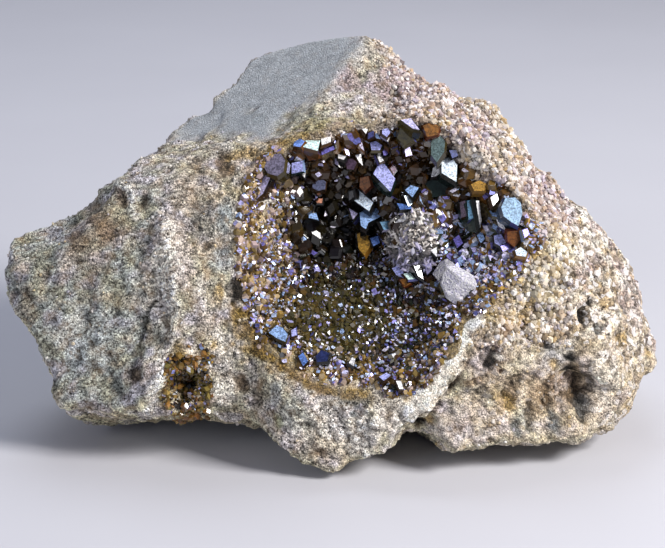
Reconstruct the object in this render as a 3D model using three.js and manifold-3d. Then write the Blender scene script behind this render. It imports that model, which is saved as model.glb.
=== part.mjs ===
// Andradite garnet specimen: a palm-sized piece of pale host rock, broken open at the front on a
// rounded hollow. The hollow is lined with a crust of fused garnet crystals. A pale clear quartz
// crystal and a knob of sugary white druse sit in the crust, and a second, small pocket of garnets
// opens low on the left. Millimetres, +Z up. The origin is on the surface that the stone rests on,
// under the middle of the stone. The hollow faces -Y.
import * as THREE from 'three';
import { ConvexHull } from 'three/addons/math/ConvexHull.js';
import { mergeVertices } from 'three/addons/utils/BufferGeometryUtils.js';
import Module from 'manifold-3d';

const wasm = await Module();
wasm.setup();

// ---- Driving dimensions, in millimetres and degrees ------------------------------------------
const SIGHT_TILT = THREE.MathUtils.degToRad(20); // the hollow faces upwards by this much
const SIGHT_DISTANCE = 235; // the sighting point is this far in front of the hollow's mouth
const AIM = { across: -6.4, up: -2 }; // where the line of sight meets the plane of the mouth
const MOUTH_HEIGHT = 26.9; // the plane's zero above the resting surface
const FOOTPRINT_SHIFT = { x: 6.1, y: -17.7 }; // brings the middle of the stone over the origin

const FRONT_EDGE = 3.2; // longest facet edge on the broken front
const HOLLOW_EDGE = 5; // longest facet edge under the crust
const BACK_EDGE = 5.6; // longest facet edge on the back
const FRONT_DEPTH = 19; // facets less than this far back belong to the front

const RIM_STEPS = 44; // straight lengths in the hollow's rim

const SEAT_GAP = 0.45; // radial clearance between the stone and what has grown on it
const CRUST_SKIN = 0.3; // thickness of the garnet skin at the rim
const CRUST_SWELL = 0.7; // what the skin gains towards the middle of the hollow
const CRUST_LUMPS = 0.4; // how far its face rises and dips
const SEATED_SHARE = 0.2; // a garnet's middle is this share of its radius proud of the skin
const SLIVER = 0.06; // steps finer than this are smoothed away
const CRUST_ROOT = 0.5; // how far the skin is drawn into the stone before it is cut back

// ---- The stone's landmarks --------------------------------------------------------------------
// Corners and ridges of the broken surface, as sighted: [across, up] on the plane of the mouth,
// and how far behind that plane the point lies.
const SIGHTED = {
  leftTip: [[-40.3, 0.7, 9], [-39.7, 4.2, 10], [-38.5, -4.8, 8], [-39.4, -2.7, 8.5],
    [-37.7, 1.5, 6.5]],
  leftTop: [[-37.7, 5.6, 11], [-32.9, 6.5, 10.5], [-29.6, 9.1, 10.5], [-26.8, 11, 10.5],
    [-24.1, 13.5, 10.5], [-22.6, 14.6, 11]],
  leftFace: [[-31.6, 3.6, 5], [-28.5, 7.2, 6.5], [-25.1, 11.5, 6.5], [-24.4, 7.1, 3.8],
    [-36.1, -3.2, 6.5], [-33.4, -11.5, 6.2], [-28.5, -6.3, 5], [-28.5, -0.7, 4.6],
    [-26.1, -11.8, 4.6], [-22.9, -6.3, 3.9], [-22.4, 0.5, 3]],
  mainRidge: [[-22.4, 9.1, 4.5], [-20.3, 4.2, 1.8], [-19, -0.1, 0.8], [-18.7, -4.2, 0.5],
    [-19.9, -8.3, 1], [-21.2, -11.8, 2], [-22.9, -15.7, 3.6]],
  leftBase: [[-34.5, -16, 5.9], [-34.8, -14.1, 6.2], [-35.9, -9.9, 6.5], [-36.6, -7.4, 7],
    [-28.5, -16.2, 5.2]],
  crest: [[-21, 14.4, 11], [-16.3, 15.3, 9.8], [-12.3, 15.5, 8.4], [-9.6, 15.6, 7.6],
    [-18.7, 14, 7.4], [-14.4, 13.6, 6.4]],
  midBand: [[-16.3, 10.3, 4.8], [-15.6, 4.8, 3.2], [-14.8, -0.7, 2.6], [-14.3, -6.3, 2.3],
    [-12.3, -8.7, 2.6]],
  pocket: [[-17.5, -13.4, 5.6], [-19.9, -12, 2], [-17.7, -9.3, 2.2], [-15.3, -11.3, 2.6],
    [-14.5, -14.2, 3.2], [-16.3, -16.3, 4.6], [-19.2, -16, 3.9]],
  lowMid: [[-13.2, -10.6, 2.8], [-10.7, -12, 3.4], [-12, -14.8, 3.6], [-8.7, -15.2, 2.6],
    [-10.1, -9.9, 2.8]],
  rim: [[-11, 2.3, 3.2], [-11, 7.9, 3.8], [-9.6, 13, 4.8], [-5.6, 16.3, 6], [-0.3, 17.9, 6.6],
    [4.8, 18.8, 7], [10.7, 19, 7], [15.9, 16.9, 7], [19.1, 13, 6.6], [23, 9.3, 6], [25, 4.4, 4.8],
    [21.5, -1.2, 2.6], [17.4, -6.4, 0.8], [13.8, -11.3, 0], [9, -15.2, 0], [2.4, -14.8, 0.8],
    [-3.7, -12.6, 1.4], [-8.4, -9, 2.2], [-10.6, -3.2, 3]],
  bowlWall: [[-5.2, 10.9, 8.5], [-0.3, 13.6, 9.5], [5.2, 14, 10.5], [11.3, 14.2, 10.5],
    [15.9, 11.5, 9.5], [19.9, 7.2, 8], [19.3, 2.3, 6.5], [15, -3.2, 5.6], [10.7, -8.3, 4.8],
    [4.6, -10.8, 4.6], [-1.8, -8.7, 5], [-5.8, -3.8, 6.2], [-7.4, 2.9, 6.5]],
  bowlFloor: [[-0.6, 6.4, 13.5], [4.8, 9.1, 13.5], [11.3, 9.7, 13.5], [14.7, 6, 11.5],
    [13.2, 1.5, 9.5], [8.3, -3.4, 9], [1.5, -3.4, 9.6], [-1.8, 1.5, 11.5], [4.6, 2.9, 14.5],
    [9.8, 5.6, 9.5], [8.5, 2, 10.5]],
  topFacet: [[-4, 17.9, 8.2], [-10.1, 16.3, 11], [-15.6, 16.1, 15.5], [-19.9, 16.6, 19.5],
    [-18.7, 18.4, 21.7], [-14.8, 18.8, 20.6], [-14.2, 21.3, 22.4], [-12.2, 23.3, 24],
    [-10.1, 26.5, 27], [-8.5, 27.2, 26.8], [-4.4, 27.9, 24.4], [0.8, 28.6, 20.8], [-6.4, 22, 17.2]],
  topRidge: [[4.7, 28.9, 17.6], [2.1, 26, 14.6], [0.2, 23.6, 12.6], [-1.5, 20.6, 10.2]],
  topRough: [[6.3, 27.7, 17.6], [8.2, 26.3, 17.2], [9.9, 24.4, 16.8], [12.3, 22.6, 16.4],
    [6.4, 23.8, 13.4], [10.7, 21.3, 12], [6.8, 19.4, 10.5], [2.1, 19.9, 9.2]],
  rightTop: [[15.4, 21.8, 16], [18, 21.3, 16], [20.1, 20.5, 15.6], [21.7, 18.2, 14.6],
    [24, 14, 14.2], [26.3, 11.9, 14.8], [28.2, 10.1, 15.2], [29.8, 8.2, 15.2], [16.9, 18.9, 10.4],
    [20.8, 15.2, 9], [25.5, 9.1, 9]],
  rightEdge: [[32.6, 5.6, 15], [34.7, 3.1, 15], [36.5, 0.5, 15], [37.7, -2.7, 15], [38.6, -5.3, 15],
    [39.6, -8, 14.6], [39.1, -10.4, 13.6], [38, -12.3, 12.6], [37.2, -15.5, 12.2],
    [35.6, -18, 11.4], [33.6, -19.3, 8.6]],
  rightFace: [[27.9, 4.8, 7], [31.6, 0.5, 7.4], [34.7, -4.4, 8], [35.9, -9.3, 8.4], [35, -14.2, 8],
    [26.4, -0.1, 3.8], [30.4, -3.8, 4.6], [32.3, -8.1, 5], [32.8, -13, 5.2]],
  lowerRight: [[23, -3.8, 2.6], [19.3, -7.5, 1.6], [24.2, -8.1, 3], [21.2, -11.2, 3.4],
    [17.9, -12, 1.6], [26.1, -12, 4.6], [25.5, -15, 5.6], [29.8, -12.4, 6.8], [29.9, -15.7, 6.4],
    [16.9, -16.1, 2.4], [21.2, -16.7, 3.2], [13.2, -16.9, 1.8], [27.9, -18.5, 4.4],
    [31.6, -17.7, 5.8]],
  rightBase: [[29.4, -20.1, 5.5], [24.7, -20.4, 4.2], [21.7, -20.4, 3.6], [18, -21.3, 2.6],
    [15.9, -22.3, 1.6], [14.3, -21.1, 2.2], [12.8, -20.1, 3], [9.9, -19.3, 3.8], [8.4, -19.3, 3.2],
    [8.9, -17.9, 1.4]],
  tip: [[5, -21.1, 1.6], [3.1, -22.7, 1.8], [1.7, -23.4, 2.2], [-1, -23.8, 2.6], [-2.8, -22.9, 2.6],
    [-4.1, -22.5, 3], [-6.2, -20.4, 3], [-8, -18, 3.4], [6.4, -17.3, 0], [2.1, -18.5, 0.7],
    [-2.5, -16.7, 1.2], [-5.8, -14.8, 1.8], [-0.3, -21.6, 1.6]],
  lowEdge: [[-9.6, -17.7, 4.4], [-11.3, -17.2, 5], [-13.2, -17.5, 5.4], [-15, -16.9, 6]],
  notches: [[-20.8, 14.7, 15.5]],
  underLeft: [[-17.4, -17.8, 11], [-22.6, -18, 15], [-27.3, -18.3, 16], [-29.6, -17.9, 13],
    [-32.2, -16.9, 9]],
};

// Points on the underside and the back, straight in the part's axes before it is centred.
const UPRIGHT = {
  under: [[12, 13, -0.8], [19, 16, -1.2], [6, 17.5, 0.6], [14, 22, 0.4], [25.5, 17.5, 1.6],
    [27, 24, 3], [-9, 6, 2.4], [-4, 14, 3.2], [-13, 13.5, 4.6], [-22, 17, 2.6], [-30, 20.5, -1.8],
    [-24.5, 24.5, -1.6], [-2, 10, -1], [4, 10.5, -0.8], [-37, 22, 2.4], [-17, 24, 2.4], [2, 31, -1],
    [10, 34, -1.1], [-5, 28, 3], [18, 30, 3.2]],
  backLow: [[-41, 23, 9], [-33, 31, 8], [-20, 34, 6.5], [-6, 37, 5.5], [8, 39.5, 5], [20, 35.5, 8],
    [29.5, 28, 9.5]],
  backMid: [[-47, 20, 19], [-38, 30, 19.5], [-26, 36.5, 17], [-12, 40.5, 17.5], [3, 43.5, 19],
    [15, 41, 16], [26, 33, 20], [31.5, 26, 16.5]],
  backHigh: [[-40.5, 24.5, 22.5], [-33, 29, 24.5], [-26, 34, 28], [-25, 33, 33.5],
    [-17.5, 40, 30.5], [-6, 42, 30], [6, 41, 33], [16, 36, 28], [22, 29.5, 25.5]],
  backTop: [[-16.5, 37, 40.5], [-8, 38.5, 41], [2.5, 35, 41.5], [11, 31.5, 36]],
};

const HEART = upright([0.7, 22.6, 18.9]); // every point of the surface is seen from here

// Garnets placed one by one: [across, up, radius, turn, tip, roll, bevelled]. Turn and tip, in
// degrees, are where the crystal's best face points, to the right and upwards of the sighting
// point, and roll turns the crystal about that face.
const MAIN_GARNETS = [
  [5.6, 11.6, 2.8, 12, 22, 20, 1], [3.6, 9.1, 1.9, -18, 28, 35, 0], [4.9, 6.7, 2.8, 2, 40, 8, 1],
  [-2.4, 14.7, 2.9, -25, 35, 30, 0], [-4.4, 13.1, 1.3, -10, 10, 0, 0],
  [-6.9, 13.3, 1.6, -30, 20, 15, 0], [-1.8, 11, 1.4, 5, 15, 45, 0], [5.4, 15.6, 1.4, 0, 10, 25, 0],
  [3.1, 14, 1.2, -5, 30, 10, 0], [1.1, 14.3, 1.3, 15, 30, 60, 0], [-2.4, 7.1, 1.1, 10, 20, 0, 0],
  [3.7, 3.8, 1.6, 10, 20, 30, 0], [9.6, 17, 2.6, 5, 30, 15, 0], [12.1, 17.5, 1.8, 20, 10, 50, 0],
  [13.2, 15.5, 2.2, -15, 25, 5, 0], [12.8, 12.8, 1.2, -20, 20, 30, 0],
  [14.4, 12.8, 2.2, -10, 25, 40, 0], [13.2, 10.2, 2.4, 25, -10, 20, 0],
  [17.5, 11.2, 1.8, -30, 10, 10, 0], [16.8, 7.9, 1.9, 15, 15, 0, 0], [22, 7.6, 2.6, -10, 20, 25, 1],
  [19.9, 7.5, 1.3, 0, 30, 40, 0], [20.6, 6, 1.2, 20, 20, 10, 0], [22.1, 4.4, 1.4, -20, 0, 30, 0],
  [20.7, 4, 1.6, 10, 10, 55, 0], [23.2, 2.8, 1.4, 5, 30, 15, 0], [12.2, 2.7, 1.2, 0, 20, 0, 0],
  [9.4, 0.3, 2, -15, 15, 20, 0], [-6.3, -7.4, 1.4, 0, 20, 35, 0], [-3.6, -10.4, 1.2, 10, 15, 0, 0],
  [-8.4, 10.7, 1.3, -30, 0, 20, 0], [8.6, 13.4, 2, 20, 30, 10, 0], [10, 11.2, 2, -10, 0, 50, 0],
  [17.8, 4.2, 1.7, 15, 25, 25, 0], [15.6, 2.9, 1.6, -20, 30, 5, 0], [0.5, 9.6, 1.8, 20, 0, 30, 0],
];
const FILL_FIELD = { left: -10, right: 24, bottom: -15, top: 18 }; // the fill is dropped in here
const RIM_MARGIN = 0.97; // share of the way to the rim that the fill keeps to
const FILL_CROWDING = 0.8; // two garnets stand this share of their radii apart, or more
const FILL_TRIES = 900; // tries at dropping a further garnet into the free places
const FILL_UPPER = { above: 2, least: 1.2, most: 1.8 }; // radii of the fill high in the hollow
const FILL_LOWER = { least: 0.8, most: 1.2 }; // and of the finer druse low in it
const FILL_LIMIT = 30; // garnets in the fill

const QUARTZ_CORNERS = [ // a blunt crystal, [across, up, back] from its own middle
  [-2.3, 1.3, 0], [-1.7, 2.7, 0.2], [0.3, 2.5, 0.2], [2.3, 1.1, 0], [2.4, -0.5, 0], [0.9, -2.3, 0.3],
  [-1.1, -1.6, 0], [-1, 1.6, -2], [0.5, 1.7, -2.2], [1.6, 0.5, -1.9], [1.2, -0.7, -1.8],
  [-0.3, -1, -1.9], [-1.2, 0.2, -1.7], [-1.4, 1, 2.4], [1, 1, 2.4], [0.8, -1, 2.4], [-0.8, -0.8, 2.4],
];
const QUARTZ_PLACE = [15.1, -1.2]; // across and up of its middle
const QUARTZ_PROUD = 1.2; // how far its middle stands in front of the stone
const DRUSE_PLACE = [10.4, 4.9]; // the knob of white druse
const DRUSE_PROUD = 0.9;
const DRUSE_SIZE = [2.4, 2.2, 3.2]; // its half axes: across, back, up
const POCKET_GARNETS = [ // [across, up, radius]
  [-17.5, -13.6, 1.2], [-18.5, -13, 0.9], [-16.5, -13.3, 1], [-17.7, -12.2, 1], [-16.9, -14.8, 0.9],
  [-18.3, -14.5, 0.9], [-17, -12.4, 0.8],
];

// ---- Places ------------------------------------------------------------------------------------
// A point given in the part's axes before it is centred.
function upright([x, y, z]) {
  return new THREE.Vector3(x + FOOTPRINT_SHIFT.x, y + FOOTPRINT_SHIFT.y, z);
}

// Turns a direction of the sight (across, back, up) into the part's axes.
function lean(across, back, up) {
  const c = Math.cos(SIGHT_TILT);
  const s = Math.sin(SIGHT_TILT);
  return new THREE.Vector3(across, back * c + up * s, up * c - back * s);
}

// A sighted point: lines of sight spread with distance, so a point further back lies further out.
function sighted([across, up, back]) {
  const spread = 1 + back / SIGHT_DISTANCE;
  const p = lean(AIM.across + across * spread, back, AIM.up + up * spread);
  return upright([p.x, p.y, p.z + MOUTH_HEIGHT]);
}

// The sighting point itself, and how far behind the plane of the mouth a point lies.
const eye = sighted([0, 0, -SIGHT_DISTANCE]);
const backwards = lean(0, 1, 0);
const mouth = sighted([0, 0, 0]);
const depthOf = (p) => p.clone().sub(mouth).dot(backwards);

// ---- Weathering ----------------------------------------------------------------------------------
// A repeatable pseudo-random number from 0 to 1 for each point of a whole-number lattice.
function lattice(i, j, k) {
  const s = Math.sin(i * 127.1 + j * 311.7 + k * 74.7) * 43758.5453;
  return s - Math.floor(s);
}

// Smooth noise from -1 to 1, with lumps about one unit across.
function noise(x, y, z) {
  const cell = [x, y, z].map(Math.floor);
  const f = [x, y, z].map((v, n) => v - cell[n]).map((t) => t * t * (3 - 2 * t));
  let sum = 0;
  for (let corner = 0; corner < 8; corner += 1) {
    const step = [corner & 1, (corner >> 1) & 1, corner >> 2];
    const weight = step.reduce((w, on, n) => w * (on ? f[n] : 1 - f[n]), 1);
    sum += weight * lattice(cell[0] + step[0], cell[1] + step[1], cell[2] + step[2]);
  }
  return 2 * sum - 1;
}

const noiseAt = (p, size, shift) => noise(p.x / size + shift, p.y / size + shift, p.z / size + shift);

// ---- The stone -------------------------------------------------------------------------------------
// How far out in the hollow a point lies, seen from HEART: 0 on its axis and 1 at its rim.
const hollowAxis = backwards.clone().negate();
const upwards = lean(0, 0, 1);
function polar(p) {
  const d = p.clone().sub(HEART).normalize();
  return { turn: Math.atan2(d.dot(upwards), d.x), open: Math.acos(d.dot(hollowAxis)) };
}
const rimCurve = new THREE.CatmullRomCurve3(SIGHTED.rim.map(sighted), true);
const rimPoints = rimCurve.getSpacedPoints(RIM_STEPS).slice(1);
const rimPolars = rimPoints.map(polar).sort((a, b) => a.turn - b.turn);
function rimShare(p) {
  const { turn, open } = polar(p);
  const next = rimPolars.findIndex((r) => r.turn > turn);
  const b = rimPolars[next < 0 ? 0 : next];
  const a = rimPolars.at(next < 0 ? -1 : next - 1);
  const whole = 2 * Math.PI;
  const width = (b.turn - a.turn + whole) % whole;
  const t = ((turn - a.turn + whole) % whole) / width;
  return open / (a.open + (b.open - a.open) * t);
}


// The landmarks are joined into flat facets by the convex hull of their directions from HEART, and
// each facet is divided until its edges are short enough to carry the weathering.
function landmarkFacets() {
  const marks = rimPoints.map((at) => ({ zone: 'rim', at }));
  for (const [zone, points] of Object.entries(SIGHTED)) {
    if (zone !== 'rim') for (const point of points) marks.push({ zone, at: sighted(point) });
  }
  for (const [zone, points] of Object.entries(UPRIGHT)) {
    for (const point of points) marks.push({ zone, at: upright(point) });
  }
  const directions = marks.map((mark) => mark.at.clone().sub(HEART).normalize());
  const owner = new Map(directions.map((direction, n) => [direction, marks[n]]));
  const hull = new ConvexHull().setFromPoints(directions);
  return hull.faces.map((face) => {
    const corners = [face.edge, face.edge.next, face.edge.prev].map((e) => owner.get(e.head().point));
    const inHollow = corners.every((mark) => ['rim', 'bowlWall', 'bowlFloor'].includes(mark.zone));
    return { corners: corners.map((mark) => mark.at), inHollow };
  });
}

const HOLLOW_SHARE = 0.985; // coarse facets, hidden by the crust, reach this far towards the rim
function longestAllowed(middle) {
  if (rimShare(middle) < HOLLOW_SHARE) return HOLLOW_EDGE;
  return depthOf(middle) < FRONT_DEPTH ? FRONT_EDGE : BACK_EDGE;
}

// Cuts a facet across its most over-long edge until none is over-long. The test looks at the edge
// alone, so two facets that share an edge cut it at the same points.
function divide(facet, out) {
  const { corners, inHollow } = facet;
  let worst = 1;
  let cut = -1;
  for (let n = 0; n < 3; n += 1) {
    const [a, b] = [corners[n], corners[(n + 1) % 3]];
    const excess = a.distanceTo(b) / longestAllowed(a.clone().add(b).multiplyScalar(0.5));
    if (excess > worst) [worst, cut] = [excess, n];
  }
  if (cut < 0) {
    out.push(facet);
    return;
  }
  const [a, b, c] = [0, 1, 2].map((n) => corners[(cut + n) % 3]);
  const middle = a.clone().add(b).multiplyScalar(0.5);
  divide({ corners: [a, middle, c], inHollow }, out);
  divide({ corners: [middle, b, c], inHollow }, out);
}

// Weathers one point: a slow shift bends the straight creases, then lumps and pits move it in or
// out along its direction from HEART. Under the stone it stops at the flat that it rests on.
function weather(p, swell) {
  const bare = THREE.MathUtils.clamp((rimShare(p) - 0.85) / 0.25, 0.3, 1);
  const shift = new THREE.Vector3(noiseAt(p, 8, 0), noiseAt(p, 8, 31.7), noiseAt(p, 8, -57.3));
  const q = p.clone().addScaledVector(shift, 0.9 * bare);
  const lumps = 0.8 * noiseAt(q, 6, 3) + 0.6 * (1 - 2 * Math.abs(noiseAt(q, 3.6, 11)));
  const direction = q.clone().sub(HEART);
  const reach = direction.length() + bare * (lumps + 0.25 * noiseAt(q, 1.7, 20));
  direction.normalize();
  const toFloor = direction.z < 0 ? HEART.z / -direction.z : Infinity;
  return HEART.clone().addScaledVector(direction, Math.min(reach, toFloor) + swell);
}

// Divided facets as an indexed surface of undisturbed points, with a note of those in the hollow.
function stoneSurface() {
  const facets = [];
  for (const facet of landmarkFacets()) divide(facet, facets);
  const points = [];
  const number = new Map();
  const indexOf = (p) => {
    const key = [p.x, p.y, p.z].map((v) => v.toFixed(4)).join();
    if (!number.has(key)) number.set(key, points.push(p) - 1);
    return number.get(key);
  };
  const faces = facets.map((facet) => facet.corners.map(indexOf));
  return { points, faces, hollow: facets.map((facet) => facet.inHollow) };
}

// ---- Solids -----------------------------------------------------------------------------------------
function solidOf(points, faces) {
  const vertProperties = new Float32Array(points.flatMap((p) => p.toArray()));
  const triVerts = new Uint32Array(faces.flat());
  return new wasm.Manifold(new wasm.Mesh({ numProp: 3, vertProperties, triVerts }));
}

// The convex solid with the given corners.
function hullSolid(corners) {
  const hull = new ConvexHull().setFromPoints(corners);
  const number = new Map(corners.map((corner, n) => [corner, n]));
  const cornersOf = (face) => [face.edge.prev, face.edge, face.edge.next];
  return solidOf(corners, hull.faces.map((face) => cornersOf(face).map((e) => number.get(e.head().point))));
}

function grown(corners, extra) {
  const middle = corners.reduce((sum, c) => sum.add(c), new THREE.Vector3()).divideScalar(corners.length);
  return corners.map((c) => {
    const out = c.clone().sub(middle);
    return middle.clone().addScaledVector(out, 1 + extra / out.length());
  });
}

// The largest piece of a cut solid: a cut can leave loose chips.
function mainPiece(solid) {
  return solid.decompose().reduce((best, piece) => (piece.volume() > best.volume() ? piece : best));
}

// ---- Garnets -----------------------------------------------------------------------------------------
// Corners of the garnet's two forms about its middle. The rhombic dodecahedron has corners at
// `radius` on its axes. The trapezohedron, when it is laid over it, bevels every edge.
const BEVEL = 0.93; // the trapezohedron's axis corners, as a share of the radius
function dodecahedron(radius) {
  const corners = [];
  for (const s of [-1, 1]) {
    corners.push([s, 0, 0], [0, s, 0], [0, 0, s]);
    for (const t of [-1, 1]) for (const u of [-1, 1]) corners.push([s / 2, t / 2, u / 2]);
  }
  return corners.map((c) => new THREE.Vector3(...c).multiplyScalar(radius));
}
function trapezohedron(radius) {
  const [axis, edge, corner] = [BEVEL, (BEVEL * 2) / 3, BEVEL / 2];
  const corners = [];
  for (const s of [-1, 1]) {
    corners.push([s * axis, 0, 0], [0, s * axis, 0], [0, 0, s * axis]);
    for (const t of [-1, 1]) {
      corners.push([s * edge, t * edge, 0], [s * edge, 0, t * edge], [0, s * edge, t * edge]);
      for (const u of [-1, 1]) corners.push([s * corner, t * corner, u * corner]);
    }
  }
  return corners.map((c) => new THREE.Vector3(...c).multiplyScalar(radius));
}

// The turn that points the face at (1, 1, 0) of a garnet out of the hollow, then aims and rolls it.
function garnetPose(turn, tip, roll) {
  const radians = [turn, tip, roll].map(THREE.MathUtils.degToRad);
  const face = new THREE.Vector3(1, 1, 0).normalize();
  const aim = lean(Math.sin(radians[0]), -Math.cos(radians[0]) * Math.cos(radians[1]), Math.sin(radians[1]));
  const pose = new THREE.Quaternion().setFromUnitVectors(face, aim.clone().normalize());
  return new THREE.Quaternion().setFromAxisAngle(aim.normalize(), radians[2]).multiply(pose);
}

function garnet(at, radius, pose, bevelled) {
  const put = (c) => c.applyQuaternion(pose).add(at);
  const solid = hullSolid(dodecahedron(radius).map(put));
  return bevelled ? solid.intersect(hullSolid(trapezohedron(radius).map(put))) : solid;
}

// ---- Building ------------------------------------------------------------------------------------------
const stone = stoneSurface();
const surface = stone.points.map((p) => weather(p, 0));
const stoneSolid = solidOf(surface, stone.faces);
const stoneWithGap = solidOf(stone.points.map((p) => weather(p, SEAT_GAP)), stone.faces);

// Where the line of sight through [across, up] first meets the stone.
const ray = new THREE.Ray();
function surfaceAt(across, up) {
  ray.set(eye, sighted([across, up, 0]).sub(eye).normalize());
  let nearest = null;
  for (const face of stone.faces) {
    const hit = ray.intersectTriangle(...face.map((n) => surface[n]), false, new THREE.Vector3());
    if (hit && (!nearest || hit.distanceTo(eye) < nearest.distanceTo(eye))) nearest = hit;
  }
  return nearest;
}

// The skin thickens from the rim inwards, and is lumpy with the small garnets that it is made of.
function skinThickness(p) {
  const inside = THREE.MathUtils.smoothstep(1 - rimShare(p), 0, 0.2);
  return CRUST_SKIN + inside * (CRUST_SWELL + CRUST_LUMPS * noiseAt(p, 2.6, 40));
}

// The garnet skin: the hollow's own facets, moved out to be its face and in to be its root.
function crustSkin() {
  const faces = stone.faces.filter((_, n) => stone.hollow[n]);
  const used = [...new Set(faces.flat())];
  const number = new Map(used.map((old, n) => [old, n]));
  const outer = used.map((n) => weather(stone.points[n], SEAT_GAP + skinThickness(stone.points[n])));
  const inner = used.map((n) => weather(stone.points[n], -CRUST_ROOT));
  const top = faces.map((face) => face.map((n) => number.get(n)));
  const under = top.map(([a, b, c]) => [a, c, b].map((n) => n + used.length));
  const edges = new Set(top.flatMap(([a, b, c]) => [`${a} ${b}`, `${b} ${c}`, `${c} ${a}`]));
  const walls = [];
  for (const edge of edges) {
    const [a, b] = edge.split(' ').map(Number);
    if (edges.has(`${b} ${a}`)) continue;
    walls.push([b, a, a + used.length], [b, a + used.length, b + used.length]);
  }
  return solidOf([...outer, ...inner], [...top, ...under, ...walls]);
}

// Garnets of the fill: dropped at random in the hollow, kept where they are clear of their neighbours.
function fillGarnets(taken) {
  const fill = [];
  const random = (n, k) => lattice(n, 7 * k, 3);
  for (let n = 0; n < FILL_TRIES && fill.length < FILL_LIMIT; n += 1) {
    const across = THREE.MathUtils.lerp(FILL_FIELD.left, FILL_FIELD.right, random(n, 1));
    const up = THREE.MathUtils.lerp(FILL_FIELD.bottom, FILL_FIELD.top, random(n, 2));
    const range = up > FILL_UPPER.above ? FILL_UPPER : FILL_LOWER;
    const radius = THREE.MathUtils.lerp(range.least, range.most, random(n, 3));
    const at = surfaceAt(across, up);
    if (rimShare(at) > RIM_MARGIN) continue;
    const close = ([x, y, r]) => Math.hypot(x - across, y - up) < FILL_CROWDING * (r + radius);
    if (taken.some(close) || fill.some(close)) continue;
    const [turn, tip, roll] = [4, 5, 6].map((k) => 90 * random(n, k) - 45);
    fill.push([across, up, radius, turn, tip, roll, 0]);
  }
  return fill;
}

function seatedGarnet([across, up, radius, turn = 0, tip = 0, roll = 0, bevelled = 0]) {
  const at = surfaceAt(across, up);
  const proud = SEAT_GAP + skinThickness(at) + SEATED_SHARE * radius;
  const outwards = at.clone().sub(HEART).normalize().multiplyScalar(proud);
  return garnet(at.add(outwards), radius, garnetPose(turn, tip, roll), bevelled);
}

// The quartz crystal and the knob of druse stand on the hollow's surface.
function quartzCorners() {
  const middle = surfaceAt(...QUARTZ_PLACE).addScaledVector(hollowAxis, QUARTZ_PROUD);
  return QUARTZ_CORNERS.map(([x, z, y]) => middle.clone().add(lean(x, y, z)));
}
function druseSurface(extra) {
  const middle = surfaceAt(...DRUSE_PLACE).addScaledVector(hollowAxis, DRUSE_PROUD);
  const ball = new THREE.IcosahedronGeometry(1, 2);
  ball.deleteAttribute('normal');
  ball.deleteAttribute('uv');
  const merged = mergeVertices(ball);
  const points = [];
  for (let n = 0; n < merged.attributes.position.count; n += 1) {
    const d = new THREE.Vector3().fromBufferAttribute(merged.attributes.position, n);
    const size = 1 + 0.16 * noiseAt(d, 0.45, 2) + 0.12 * noiseAt(d, 0.2, 5);
    const [x, y, z] = [d.x * DRUSE_SIZE[0], d.y * DRUSE_SIZE[1], d.z * DRUSE_SIZE[2]];
    points.push(lean(x, y, z).multiplyScalar(size + extra / DRUSE_SIZE[0]).add(middle));
  }
  const index = merged.index.array;
  const faces = Array.from({ length: index.length / 3 }, (_, n) => [...index.slice(3 * n, 3 * n + 3)]);
  return solidOf(points, faces);
}

const quartz = quartzCorners();
const sockets = [stoneWithGap, hullSolid(grown(quartz, SEAT_GAP)), druseSurface(SEAT_GAP)];
const mainCrystals = [...MAIN_GARNETS, ...fillGarnets(MAIN_GARNETS)].map(seatedGarnet);
const crust = wasm.Manifold.union([crustSkin(), ...mainCrystals]);
const pocketCrust = wasm.Manifold.union(POCKET_GARNETS.map(seatedGarnet));

const solids = {
  host_rock: stoneSolid,
  garnet_crust: sockets.reduce((solid, socket) => solid.subtract(socket), crust),
  pocket_garnet_crust: pocketCrust.subtract(stoneWithGap),
  quartz_crystal: hullSolid(quartz).subtract(stoneWithGap).subtract(druseSurface(SEAT_GAP)),
  white_druse_knob: druseSurface(0).subtract(stoneWithGap),
};
const finishes = {
  host_rock: { color: 0xa39b8c, roughness: 0.95, metalness: 0 },
  garnet_crust: { color: 0x3c2a22, roughness: 0.25, metalness: 0 },
  pocket_garnet_crust: { color: 0x3a2b1c, roughness: 0.3, metalness: 0 },
  quartz_crystal: { color: 0xc9c6dc, roughness: 0.15, metalness: 0 },
  white_druse_knob: { color: 0xb7b3b2, roughness: 0.7, metalness: 0 },
};

const specimen = new THREE.Group();
for (const [name, solid] of Object.entries(solids)) {
  const { vertProperties, triVerts } = mainPiece(solid.simplify(SLIVER)).getMesh();
  const geometry = new THREE.BufferGeometry();
  geometry.setAttribute('position', new THREE.BufferAttribute(vertProperties, 3));
  geometry.setIndex(new THREE.BufferAttribute(triVerts, 1));
  const mesh = new THREE.Mesh(geometry, new THREE.MeshStandardMaterial(finishes[name]));
  mesh.name = name;
  specimen.add(mesh);
}

export default specimen;
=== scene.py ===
# %% [markdown]
# # A garnet specimen: pale rock, a crystal-lined hollow, a quartz crystal and a knob of white druse
# The solids give every piece its place and its size. This lesson gives each one its surface: the
# broken stone, the dark garnets that line the hollow, the finer druse below them, and the pale
# crystals that grew among them. Everything new is a surface worked out with numpy. The packed
# solids are loaded first, because each later step is measured on them.

# %% Load the solids
import itertools

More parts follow.
